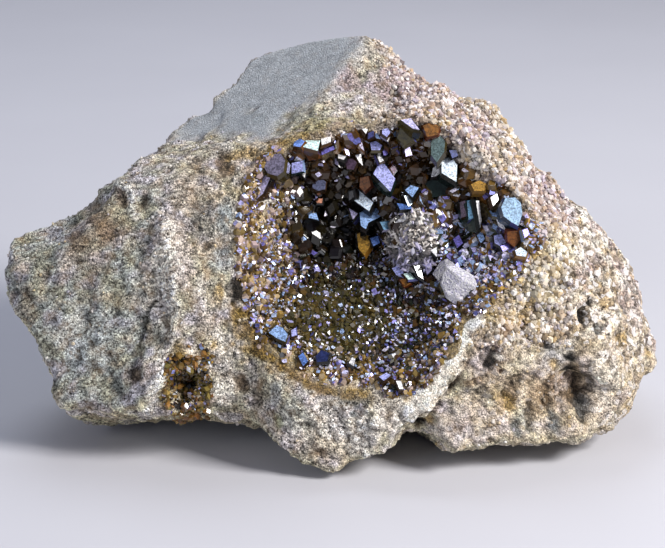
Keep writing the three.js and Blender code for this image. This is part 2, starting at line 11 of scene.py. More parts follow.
import bpy
import numpy as np
from mathutils import Matrix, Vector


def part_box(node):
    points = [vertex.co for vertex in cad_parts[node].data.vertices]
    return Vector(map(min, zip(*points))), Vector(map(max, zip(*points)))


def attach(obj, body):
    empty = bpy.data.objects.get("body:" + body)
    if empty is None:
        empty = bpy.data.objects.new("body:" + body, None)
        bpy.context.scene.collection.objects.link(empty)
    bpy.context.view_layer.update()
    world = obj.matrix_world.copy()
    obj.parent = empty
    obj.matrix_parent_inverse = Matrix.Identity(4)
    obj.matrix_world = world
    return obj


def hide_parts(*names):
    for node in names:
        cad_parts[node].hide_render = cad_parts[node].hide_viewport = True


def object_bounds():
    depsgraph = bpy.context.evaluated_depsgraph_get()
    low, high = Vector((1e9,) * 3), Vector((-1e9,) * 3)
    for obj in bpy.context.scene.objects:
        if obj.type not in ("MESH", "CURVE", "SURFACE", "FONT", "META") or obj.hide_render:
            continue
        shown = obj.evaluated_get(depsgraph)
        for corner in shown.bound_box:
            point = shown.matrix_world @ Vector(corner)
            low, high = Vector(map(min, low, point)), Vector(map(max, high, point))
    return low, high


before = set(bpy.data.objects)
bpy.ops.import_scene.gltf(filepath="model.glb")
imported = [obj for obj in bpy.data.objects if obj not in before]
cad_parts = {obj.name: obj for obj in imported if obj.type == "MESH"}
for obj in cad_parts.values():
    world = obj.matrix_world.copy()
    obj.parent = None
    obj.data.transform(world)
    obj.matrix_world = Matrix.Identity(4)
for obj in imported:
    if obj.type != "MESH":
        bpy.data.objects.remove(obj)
solid_low, solid_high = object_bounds()
SOLID_BOX = np.array([solid_low, solid_high]) * 1000.0
print("solids, mm:", np.round(SOLID_BOX[1] - SOLID_BOX[0], 1), "nodes:", sorted(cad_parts))

# %% [markdown]
# ## The line of sight
# The specimen is looked at from a little above, with its hollow turned to the viewer. Most places
# on its front are easiest to give as that viewer reads them: so far across, so far up, and so far
# behind the plane of the hollow's mouth. Two functions turn such a reading into a point of the
# part and back again. Lines of sight spread with distance, so a point further back lies further
# out. All lengths are millimetres until a mesh is made.

# %% Sight readings and points
MM = 0.001
TILT = np.radians(20.0)  # the line of sight falls by this much
RIGHT = np.array([1.0, 0.0, 0.0])
BEHIND = np.array([0.0, np.cos(TILT), -np.sin(TILT)])
UPWARD = np.array([0.0, np.sin(TILT), np.cos(TILT)])
SIGHT_DISTANCE = 235.0  # from the eye to the plane of the mouth
MOUTH = np.array([-0.3, -18.38, 25.02])  # where the line of sight meets that plane
EYE = MOUTH - SIGHT_DISTANCE * BEHIND
HEART = np.array([6.8, 4.9, 18.9])  # inside the stone: every point of the surface is seen from here


def sighted(across, up, back):
    """The point read as (across, up) and lying `back` behind the mouth's plane."""
    across, up, back = (np.asarray(v, float)[..., None] for v in (across, up, back))
    spread = 1 + back / SIGHT_DISTANCE
    return MOUTH + across * spread * RIGHT + back * BEHIND + up * spread * UPWARD


def read_off(points):
    """Across, up and back of points: the reverse of `sighted`."""
    from_mouth = points - MOUTH
    back = from_mouth @ BEHIND
    spread = 1 + back / SIGHT_DISTANCE
    return from_mouth @ RIGHT / spread, from_mouth @ UPWARD / spread, back


def unit(vectors):
    """Each vector divided by its length."""
    return vectors / np.maximum(np.linalg.norm(vectors, axis=-1, keepdims=True), 1e-12)


def aimed(turn, tip):
    """The direction that faces the eye, swung `turn` degrees to the right and `tip` upwards."""
    turn, tip = np.radians(turn), np.radians(tip)
    return unit(np.sin(turn) * RIGHT - np.cos(turn) * np.cos(tip) * BEHIND + np.sin(tip) * UPWARD)


def ramp(value, start, end):
    """0 before start, 1 after end, and a smooth rise (3t² - 2t³) between them."""
    t = np.clip((value - start) / (end - start), 0, 1)
    return t * t * (3 - 2 * t)


print("eye, mm:", np.round(EYE, 1))

# %% [markdown]
# ## The camera, the light and the floor
# A long lens keeps near and far crystals at their true sizes, and the camera stands at the eye.
# One soft lamp high on the right gives the stone its bright side and its shaded side. A weak one on
# the left keeps the shade open, and one above and behind lights the top. A pale sky fills the rest
# and is what the crystal faces mirror. The floor is plain and pale.

# %% Camera
SENSOR_WIDTH = 36.0
LENS = 103.7
NEAREST_SEEN = 0.01  # metres

camera = bpy.data.objects.new("camera", bpy.data.cameras.new("camera"))
bpy.context.collection.objects.link(camera)
camera.data.sensor_width = SENSOR_WIDTH
camera.data.lens = LENS
camera.data.clip_start = NEAREST_SEEN
camera.matrix_world = Matrix.Translation(EYE * MM) @ Matrix.Rotation(np.pi / 2 - TILT, 4, "X")
bpy.context.scene.camera = camera
bpy.context.scene.view_settings.view_transform = "Standard"
print("camera lens, mm:", LENS)


# %% Lamps and sky
def soft_lamp(name, place, aim, width, watts, colour):
    """A square lamp at `place` that faces `aim`, both in millimetres."""
    data = bpy.data.lights.new(name, "AREA")
    data.size = width * MM
    data.energy = watts
    data.color = colour
    lamp = bpy.data.objects.new(name, data)
    bpy.context.collection.objects.link(lamp)
    place = np.array(place, float)
    toward = unit(np.array(aim) - place)
    side = unit(np.cross(toward, [0.0, 0.0, 1.0]))
    over = np.cross(side, toward)
    turned = Matrix(np.column_stack([side, over, -toward]).tolist()).to_4x4()
    lamp.matrix_world = Matrix.Translation(place * MM) @ turned


soft_lamp("key_lamp", (330, -170, 300), (0, 0, 20), 150, 3.3, (1.0, 0.97, 0.94))
soft_lamp("fill_lamp", (-320, -330, 190), (0, 0, 20), 260, 0.6, (0.90, 0.93, 1.0))
soft_lamp("top_lamp", (-60, 210, 380), (0, 0, 20), 220, 0.75, (0.84, 0.90, 1.0))

SKY_COLOUR = (0.60, 0.62, 0.80, 1.0)
SKY_STRENGTH = 0.25
sky = bpy.data.worlds.new("pale_sky")
bpy.context.scene.world = sky
sky.use_nodes = True
background = sky.node_tree.nodes["Background"].inputs
background["Color"].default_value = SKY_COLOUR
background["Strength"].default_value = SKY_STRENGTH

# %% [markdown]
# ## Shader sums as plain expressions
# A finish is mostly arithmetic: this grain times that shade, plus a little rust where a mask says
# so. Wired by hand that takes dozens of nodes. A small class wraps one output of a node, and every
# operator on it adds the Math node that does the sum, so the recipe reads as the sum itself.
# Numbers go through Math nodes, and colours through Mix nodes, because a Math node turns a colour
# grey.


# %% A wire and a finish
class Wire:
    """One number coming out of a shader node."""

    def __init__(self, finish, socket):
        self.finish = finish
        self.socket = socket

    def sum_with(self, operation, first, second, clamp=False):
        """One Math node on two numbers or wires."""
        settings = {"operation": operation, "use_clamp": clamp}
        return self.finish.node("ShaderNodeMath", settings, {0: first, 1: second})

    def __add__(self, other):
        return self.sum_with("ADD", self, other)

    def __radd__(self, other):
        return self.sum_with("ADD", other, self)

    def __sub__(self, other):
        return self.sum_with("SUBTRACT", self, other)

    def __rsub__(self, other):
        return self.sum_with("SUBTRACT", other, self)

    def __mul__(self, other):
        return self.sum_with("MULTIPLY", self, other)

    def __rmul__(self, other):
        return self.sum_with("MULTIPLY", other, self)

    def __gt__(self, other):
        return self.sum_with("GREATER_THAN", self, other)

    def rise(self, start, end):
        """0 at start, 1 at end, straight between them and held outside them."""
        return self.sum_with("ADD", (self - start) * (1 / (end - start)), 0.0, clamp=True)


class Finish:
    """A material under construction: one Principled shader and the nodes that feed it."""

    def __init__(self, name, **constants):
        self.material = bpy.data.materials.new(name)
        self.material.use_nodes = True
        self.tree = self.material.node_tree
        self.shader = self.tree.nodes["Principled BSDF"]
        self.place = self.node("ShaderNodeTexCoord", output="Object")
        for socket, value in constants.items():
            self.shader.inputs[socket.replace("_", " ")].default_value = value

    def node(self, kind, settings=None, inputs=None, output=0):
        """Adds a node: its settings first, then a value or a wire for each named input."""
        made = self.tree.nodes.new(kind)
        for setting, value in (settings or {}).items():
            setattr(made, setting, value)
        for socket, value in (inputs or {}).items():
            self.feed(made.inputs[socket], value)
        return Wire(self, made.outputs[output])

    def feed(self, socket, value):
        """Links a wire to a socket, or gives the socket a plain value."""
        if isinstance(value, Wire):
            self.tree.links.new(value.socket, socket)
        else:
            socket.default_value = value

    def set(self, socket, value):
        """Feeds one socket of the Principled shader."""
        self.feed(self.shader.inputs[socket], value)

    def mixed(self, share, first, second, blend="MIX"):
        """A colour between two colours."""
        settings = {"data_type": "RGBA", "blend_type": blend}
        return self.node("ShaderNodeMix", settings, {0: share, 6: first, 7: second}, output=2)

    def noise(self, size, detail=2.0):
        """Cloudy noise whose lumps are about `size` millimetres."""
        inputs = {"Vector": self.place, "Scale": 1 / (size * MM), "Detail": detail}
        return self.node("ShaderNodeTexNoise", None, inputs)

    def cells(self, size, output):
        """Grains about `size` millimetres wide: their Color is random, their Distance a cone."""
        inputs = {"Vector": self.place, "Scale": 1 / (size * MM)}
        return self.node("ShaderNodeTexVoronoi", None, inputs, output)

    def attribute(self, name, output="Fac"):
        """What was painted on the mesh under this name: a number, or with "Color" a colour."""
        return self.node("ShaderNodeAttribute", {"attribute_name": name}, None, output)

    def red(self, colour):
        """The red share of a colour, as a number."""
        return self.node("ShaderNodeSeparateColor", None, {0: colour})

    def shaded(self, colour, shade):
        """A colour multiplied by one number."""
        grey = self.node("ShaderNodeCombineColor", None, {0: shade, 1: shade, 2: shade})
        return self.mixed(1.0, colour, grey, "MULTIPLY")

    def bump(self, height, strength, depth):
        """Dents the shading by `height`, as if it stood up to `depth` millimetres proud."""
        inputs = {"Height": height, "Strength": strength, "Distance": depth * MM}
        self.set("Normal", self.node("ShaderNodeBump", None, inputs))


# %% Floor
FLOOR_HALF_WIDTH = 1500.0
FLOOR_CELLS = 8
FLOOR_DROP = 0.02  # the floor lies this far under the stone


def floor_sheet(half_width, cells):
    """A flat square grid under the stone: x and y run evenly from -half_width to half_width."""
    line = np.linspace(-half_width, half_width, cells + 1)
    x, y = np.meshgrid(line, line)
    points = np.column_stack([x.ravel(), y.ravel(), np.full(x.size, -FLOOR_DROP)])
    first = (np.arange(cells)[:, None] * (cells + 1) + np.arange(cells)).ravel()
    return points, np.column_stack([first, first + 1, first + cells + 2, first + cells + 1])


floor_points, floor_faces = floor_sheet(FLOOR_HALF_WIDTH, FLOOR_CELLS)
floor_mesh = bpy.data.meshes.new("floor")
floor_mesh.from_pydata((floor_points * MM).tolist(), [], floor_faces.tolist())
floor = bpy.data.objects.new("floor", floor_mesh)
bpy.context.collection.objects.link(floor)
paper = Finish("pale_paper", Roughness=0.8)
paper.set("Base Color", paper.mixed(paper.noise(40.0), (0.50, 0.50, 0.54, 1), (0.54, 0.54, 0.58, 1)))
floor_mesh.materials.append(paper.material)
print("floor, mm:", 2 * FLOOR_HALF_WIDTH)

# %% [markdown]
# ## Repeatable roughness
# Broken stone is rough at every size. Two patterns build all of it. Lumps are random numbers on a
# lattice of cubes, joined smoothly. Grains drop one point into each cube and measure how near the
# closest one is, which gives packed round bodies with creases between them, as in a coarse rock.
# Both work on whole arrays of points and give the same answer on every run.


# %% Lumps and grains
def lattice(cell, salt):
    """A number from 0 to 1 for each whole-number cell: the fraction of a large sine."""
    wave = np.sin(cell @ np.array([127.1, 311.7, 74.7]) + salt * 19.19) * 43758.5453
    return wave - np.floor(wave)


def lumps(points, size, salt):
    """Smooth noise from -1 to 1 with lumps about `size` wide: corners of a cube, blended."""
    place = points / size
    cell = np.floor(place)
    part = place - cell
    part = part * part * (3 - 2 * part)
    total = np.zeros(len(points))
    for corner in itertools.product((0.0, 1.0), repeat=3):
        step = np.array(corner)
        weight = np.prod(step * part + (1 - step) * (1 - part), axis=1)
        total += weight * lattice(cell + step, salt)
    return 2 * total - 1


def grains(points, size, salt):
    """Distance to the nearest grain's middle in grain widths, and that grain's own number."""
    place = points / size
    cell = np.floor(place)
    nearest = np.full(len(points), np.inf)
    number = np.zeros(len(points))
    for offset in itertools.product((-1.0, 0.0, 1.0), repeat=3):
        near = cell + np.array(offset)
        middle = near + np.column_stack([lattice(near, salt + n) for n in range(3)])
        distance = np.linalg.norm(middle - place, axis=1)
        closer = distance < nearest
        nearest = np.where(closer, distance, nearest)
        number = np.where(closer, lattice(near, salt + 7), number)
    return nearest, number


print("lump at the origin:", round(float(lumps(np.zeros((1, 3)), 1.0, 5)[0]), 3))


# %% From arrays to a piece
def mesh_of(name, points, corners, counts):
    """A mesh from points in millimetres, every face's corners in one row, and how many each has."""
    mesh = bpy.data.meshes.new(name)
    mesh.vertices.add(len(points))
    mesh.vertices.foreach_set("co", (points * MM).astype(np.float32).ravel())
    mesh.loops.add(len(corners))
    mesh.loops.foreach_set("vertex_index", corners.astype(np.int32))
    mesh.polygons.add(len(counts))
    mesh.polygons.foreach_set("loop_start", (np.cumsum(counts) - counts).astype(np.int32))
    mesh.update(calc_edges=True)
    mesh.validate()
    return mesh


def piece_of(mesh, material, nodes=()):
    """Puts a mesh into the scene as a piece of the specimen that stands for some solids."""
    piece = bpy.data.objects.new(mesh.name, mesh)
    bpy.context.collection.objects.link(piece)
    mesh.materials.append(material)
    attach(piece, "root")
    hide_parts(*nodes)
    triangles = len(mesh.loops) - 2 * len(mesh.polygons)
    print(mesh.name + ":", len(mesh.vertices), "points,", triangles, "triangles")


def paint(mesh, name, values, domain):
    """Stores one number or one colour for every point or face."""
    if values.ndim == 1:
        mesh.attributes.new(name, "FLOAT", domain).data.foreach_set("value", values)
        return
    solid = np.column_stack([values, np.ones(len(values))])
    mesh.attributes.new(name, "FLOAT_COLOR", domain).data.foreach_set("color", solid.ravel())


# %% [markdown]
# ## A ball of rays
# Every point of the stone is seen from its heart, so the whole surface, hollow included, is one
# distance for each direction. That makes it a grid like a globe's: turns round the hollow's axis,
# and steps from the middle of the hollow over its rim to the back. The rim is at step 1, so a row
# of the grid follows it all the way round. The globe starts as a bead at the heart, and a
# Shrinkwrap modifier throws each of its points out onto the solid.

# %% The rim of the hollow
RIM = np.array([  # across, up, back
    [-11, 2.3, 3.2], [-11, 7.9, 3.8], [-9.6, 13, 4.8], [-5.6, 16.3, 6], [-0.3, 17.9, 6.6],
    [4.8, 18.8, 7], [10.7, 19, 7], [15.9, 16.9, 7], [19.1, 13, 6.6], [23, 9.3, 6], [25, 4.4, 4.8],
    [21.5, -1.2, 2.6], [17.4, -6.4, 0.8], [13.8, -11.3, 0], [9, -15.2, 0], [2.4, -14.8, 0.8],
    [-3.7, -12.6, 1.4], [-8.4, -9, 2.2], [-10.6, -3.2, 3],
])


def bearing(points):
    """Turn round the hollow's axis, and angle away from it, of points seen from the heart."""
    ray = unit(points - HEART)
    return np.arctan2(ray @ UPWARD, ray @ RIGHT), np.arccos(np.clip(-(ray @ BEHIND), -1, 1))


def closed_curve(marks, steps):
    """A smooth closed line through marks: each span is the cubic with its neighbours' slopes."""
    t = np.linspace(0, 1, steps, endpoint=False)[:, None, None]
    before, here, after, later = (np.roll(marks, shift, axis=0) for shift in (1, 0, -1, -2))
    bend = 2 * before - 5 * here + 4 * after - later
    swing = 3 * here - before - 3 * after + later
    spans = here + 0.5 * ((after - before) * t + bend * t**2 + swing * t**3)
    return spans.transpose(1, 0, 2).reshape(-1, 3)


rim_turn, rim_open = bearing(closed_curve(sighted(*RIM.T), 12))
rim_order = np.argsort(rim_turn)
rim_turn, rim_open = rim_turn[rim_order], rim_open[rim_order]


def rim_angle(turn):
    """How far the rim lies from the hollow's axis at each turn."""
    return np.interp(turn, rim_turn, rim_open, period=2 * np.pi)


def rays(step, turn):
    """Directions from the heart: step 0 is the hollow's axis, 1 its rim, and 2 the far pole."""
    rim = rim_angle(turn)
    away = np.where(step < 1, step * rim, rim + (step - 1) * (np.pi - rim))[..., None]
    around = np.cos(turn)[..., None] * RIGHT + np.sin(turn)[..., None] * UPWARD
    return np.sin(away) * around - np.cos(away) * BEHIND


print("rim, degrees from the axis:", np.round(np.degrees([rim_open.min(), rim_open.max()]), 1))


# %% A globe and its faces
def globe_faces(rows, columns):
    """Four corners for each face between two rows, and three for each at the two poles.

    Points are numbered row by row, and the two poles come last."""
    row, column = np.meshgrid(np.arange(rows - 1), np.arange(columns), indexing="ij")
    after = (column + 1) % columns
    quads = [row * columns + column, (row + 1) * columns + column]
    quads += [(row + 1) * columns + after, row * columns + after]
    quads = np.stack(quads, axis=-1).reshape(-1, 4)
    ring = np.arange(columns)
    following = (ring + 1) % columns
    front = np.column_stack([np.full(columns, rows * columns), ring, following])
    last = (rows - 1) * columns
    back = np.column_stack([np.full(columns, rows * columns + 1), last + following, last + ring])
    counts = np.concatenate([np.full(len(quads), 4), np.full(2 * columns, 3)])
    return np.concatenate([quads.ravel(), front.ravel(), back.ravel()]), counts


BEAD = 0.3  # the bead's radius, millimetres


def on_solid(directions, node):
    """Where rays from the heart meet a solid: a bead of points, thrown out by Shrinkwrap."""
    rows, columns = directions.shape[:2]
    poles = unit(np.array([directions[0].mean(axis=0), directions[-1].mean(axis=0)]))
    beads = HEART + BEAD * np.concatenate([directions.reshape(-1, 3), poles])
    mesh = mesh_of("bead", beads, *globe_faces(rows, columns))
    bead = bpy.data.objects.new("bead", mesh)
    bpy.context.collection.objects.link(bead)
    thrown = bead.modifiers.new("thrown", "SHRINKWRAP")
    thrown.wrap_method = "PROJECT"
    thrown.use_negative_direction = False
    thrown.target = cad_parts[node]
    found = bead.evaluated_get(bpy.context.evaluated_depsgraph_get()).data
    points = np.empty(3 * len(beads), np.float32)
    found.vertices.foreach_get("co", points)
    points = points.reshape(-1, 3).astype(float) / MM
    bpy.data.objects.remove(bead)
    bpy.data.meshes.remove(mesh)
    return points[:-2].reshape(rows, columns, 3), points[-2:]


print("first face of a globe, 3 rows by 4 columns:", globe_faces(3, 4)[0][:4])

# %% [markdown]
# ## Where the grid needs its rows
# The broken front is seen close, and the floor of the hollow is covered by crystals. So a first,
# coarse globe measures how long the stone is along each row and column, and the fine globe spends
# its points by that length, with the front counted several times over and the hollow given a few
# rows only.

# %% Measure the stone with a coarse globe
FRONT_WEIGHT = 3.2  # how much closer together points lie on the front than on the back
FRONT_DEPTH = 17.0  # millimetres behind the mouth where the front ends
BACK_DEPTH = 31.0  # and where the back begins
COARSE_ROWS = 150
COARSE_COLUMNS = 240
ROW_ROUNDS, COLUMN_ROUNDS = 30, 12  # rounds of softening, so that the grid changes slowly

coarse_turn = np.linspace(-np.pi, np.pi, COARSE_COLUMNS, endpoint=False)
coarse_step = 1 + np.linspace(0.0, 0.995, COARSE_ROWS)
coarse_step_grid, coarse_turn_grid = np.meshgrid(coarse_step, coarse_turn, indexing="ij")
coarse, _ = on_solid(rays(coarse_step_grid, coarse_turn_grid), "host_rock")
coarse_back = read_off(coarse)[2]
coarse_weight = 1 + (FRONT_WEIGHT - 1) * (1 - ramp(coarse_back, FRONT_DEPTH, BACK_DEPTH))


def softened(grid, rounds):
    """Each value averaged with its neighbours, 1-2-1 along the turns and the rows, some rounds."""
    for _ in range(rounds):
        grid = (np.roll(grid, 1, axis=1) + 2 * grid + np.roll(grid, -1, axis=1)) / 4
        inner = (grid[:-2] + 2 * grid[1:-1] + grid[2:]) / 4
        grid = np.concatenate([grid[:1], inner, grid[-1:]])
    return grid


down = np.linalg.norm(np.diff(coarse, axis=0), axis=2) * (coarse_weight[1:] + coarse_weight[:-1]) / 2
travelled = np.concatenate([np.zeros((1, COARSE_COLUMNS)), np.cumsum(down, axis=0)])
travelled = softened(travelled / travelled[-1], ROW_ROUNDS)
round_length = np.linalg.norm(coarse - np.roll(coarse, -1, axis=1), axis=2)
column_need = (round_length * coarse_weight**2).sum(axis=0)
column_need = softened(column_need[None].repeat(3, axis=0), COLUMN_ROUNDS)[1]
column_length = down.sum(axis=0)
print("weighted length of a column, mm:", np.round([column_length.min(), column_length.max()]))

# %% Spend the fine globe's rows and columns
ROWS = 146
HOLLOW_ROWS = 12
COLUMNS = 660
HOLLOW_STEPS = (0.06, 0.985)  # the hollow's rows lie between these steps, just inside the rim

passed = np.concatenate([[0], np.cumsum(column_need)])
wanted = np.linspace(0, passed[-1], COLUMNS, endpoint=False)
turn = np.interp(wanted, passed, np.append(coarse_turn, np.pi))
place = (turn + np.pi) / (2 * np.pi) * COARSE_COLUMNS
left = np.floor(place).astype(int) % COARSE_COLUMNS
share = place - np.floor(place)
spent = travelled[:, left] * (1 - share) + travelled[:, (left + 1) % COARSE_COLUMNS] * share
outside = np.linspace(0.0, 1.0, ROWS - HOLLOW_ROWS)
outside = np.stack([np.interp(outside, column, coarse_step) for column in spent.T], axis=1)
inside = np.linspace(*HOLLOW_STEPS, HOLLOW_ROWS)[:, None].repeat(COLUMNS, axis=1)
step = np.concatenate([inside, outside])
turn = turn[None].repeat(ROWS, axis=0)
bare_stone, bare_poles = on_solid(rays(step, turn), "host_rock")
print("rows, columns:", ROWS, COLUMNS)

# %% [markdown]
# ## The broken stone
# The solid has the stone's facets. The real break is rough: slow swells across each face, then
# lumps the size of a peppercorn, then grains. On the left the rock is fine and even, the top face
# is nearly smooth, and on the right it is coarse and sugary, with rounded grains that show on the
# outline. So each pattern is weighted by where on the stone it stands.

# %% Soften the facets, then find which way each point faces
FACET_ROUNDS = 3

stone = np.concatenate([bare_stone[:HOLLOW_ROWS], softened(bare_stone, FACET_ROUNDS)[HOLLOW_ROWS:]])


def facing(grid):
    """The direction square to a grid: its step down the rows crossed with its step around."""
    around = np.roll(grid, -1, axis=1) - np.roll(grid, 1, axis=1)
    square = unit(np.cross(np.gradient(grid, axis=0), around))
    outward = ((grid - HEART) * square).sum(axis=2, keepdims=True)
    return square * np.sign(outward)


stone_normal = softened(facing(stone), 2)
flat_stone = stone.reshape(-1, 3)
flat_normal = unit(stone_normal.reshape(-1, 3))
across, up, back = read_off(flat_stone)
toward_eye = -(flat_normal @ BEHIND)
front = ramp(toward_eye, -0.25, 0.2)
print("points that face the eye:", int((toward_eye > 0).sum()))

# %% Where the rock is coarse, smooth or streaked
wander = 1.6 * lumps(flat_stone, 3.1, 11) + 0.7 * lumps(flat_stone, 1.3, 12)
coarse_share = ramp(across + wander, 3, 11)
coarse_share *= 1 - 0.8 * ramp(-up + 0.6 * wander, 7.5, 10) * (1 - 0.5 * ramp(across, 30, 35))
smooth_edge = -5.0 + 0.9 * (up - 18)  # how far across the smooth top face reaches
beyond_edge = across + 0.7 * wander + 0.6 * lumps(flat_stone, 0.6, 13) - smooth_edge
smooth_share = ramp(up + 0.5 * wander, 16.2, 18.0) * (1 - ramp(beyond_edge, -2.6, 1.6))
smooth_share *= ramp(toward_eye, -0.05, 0.2)
streak_share = front * ramp(-up + wander, -6, 2) * (1 - smooth_share)
outside_share = ramp(step.ravel(), 0.99, 1.02)
print("coarse and smooth points:", (coarse_share > 0.5).sum(), (smooth_share > 0.5).sum())

# %% [markdown]
# ## Marks on the stone
# Stains, pale patches and dark holes stand where the specimen has them. The near-black of the
# holes is painted shade, and a few marks paint a shadow beside a ridge or light on a shaded patch.
# Each is an oval on the front, given as a sight reading: where it is, how far it reaches, how it
# leans, how deep it dents the stone, and how strongly it brings which colour. The ridges and the
# crack are lines with corners instead.

# %% Colours of the rock and the marks on it
ROCK_COLOURS = {
    "grey_green": (0.44, 0.46, 0.41), "beige": (0.54, 0.50, 0.44), "slate": (0.40, 0.43, 0.46),
    "sand": (0.64, 0.575, 0.49), "cream": (0.80, 0.75, 0.67), "warm": (0.56, 0.46, 0.32),
    "umber": (0.15, 0.095, 0.05), "rust": (0.27, 0.175, 0.10), "ochre": (0.24, 0.155, 0.035),
    # the near-black below is painted shade, put into the holes and the crack
    "painted_hole_shade": (0.012, 0.009, 0.006), "moss": (0.38, 0.37, 0.20), "steel": (0.27, 0.31, 0.32),
    "sage": (0.33, 0.38, 0.31), "blush": (0.56, 0.48, 0.47), "bark": (0.30, 0.235, 0.165),
    "pale": (0.94, 0.87, 0.76), "dusk": (0.20, 0.20, 0.18), "honey": (0.46, 0.31, 0.11),
    # the lichen-coloured yellow-green below also serves as painted light on surfaces that face down
    "mauve": (0.39, 0.30, 0.33), "lichen_and_bounce_light": (0.68, 0.64, 0.45), "wine": (0.085, 0.032, 0.022),
    "loam": (0.17, 0.105, 0.03), "frost": (0.54, 0.58, 0.58), "olive_grey": (0.44, 0.41, 0.26),
    "lilac_grey": (0.51, 0.47, 0.56), "tan": (0.50, 0.39, 0.27),
}
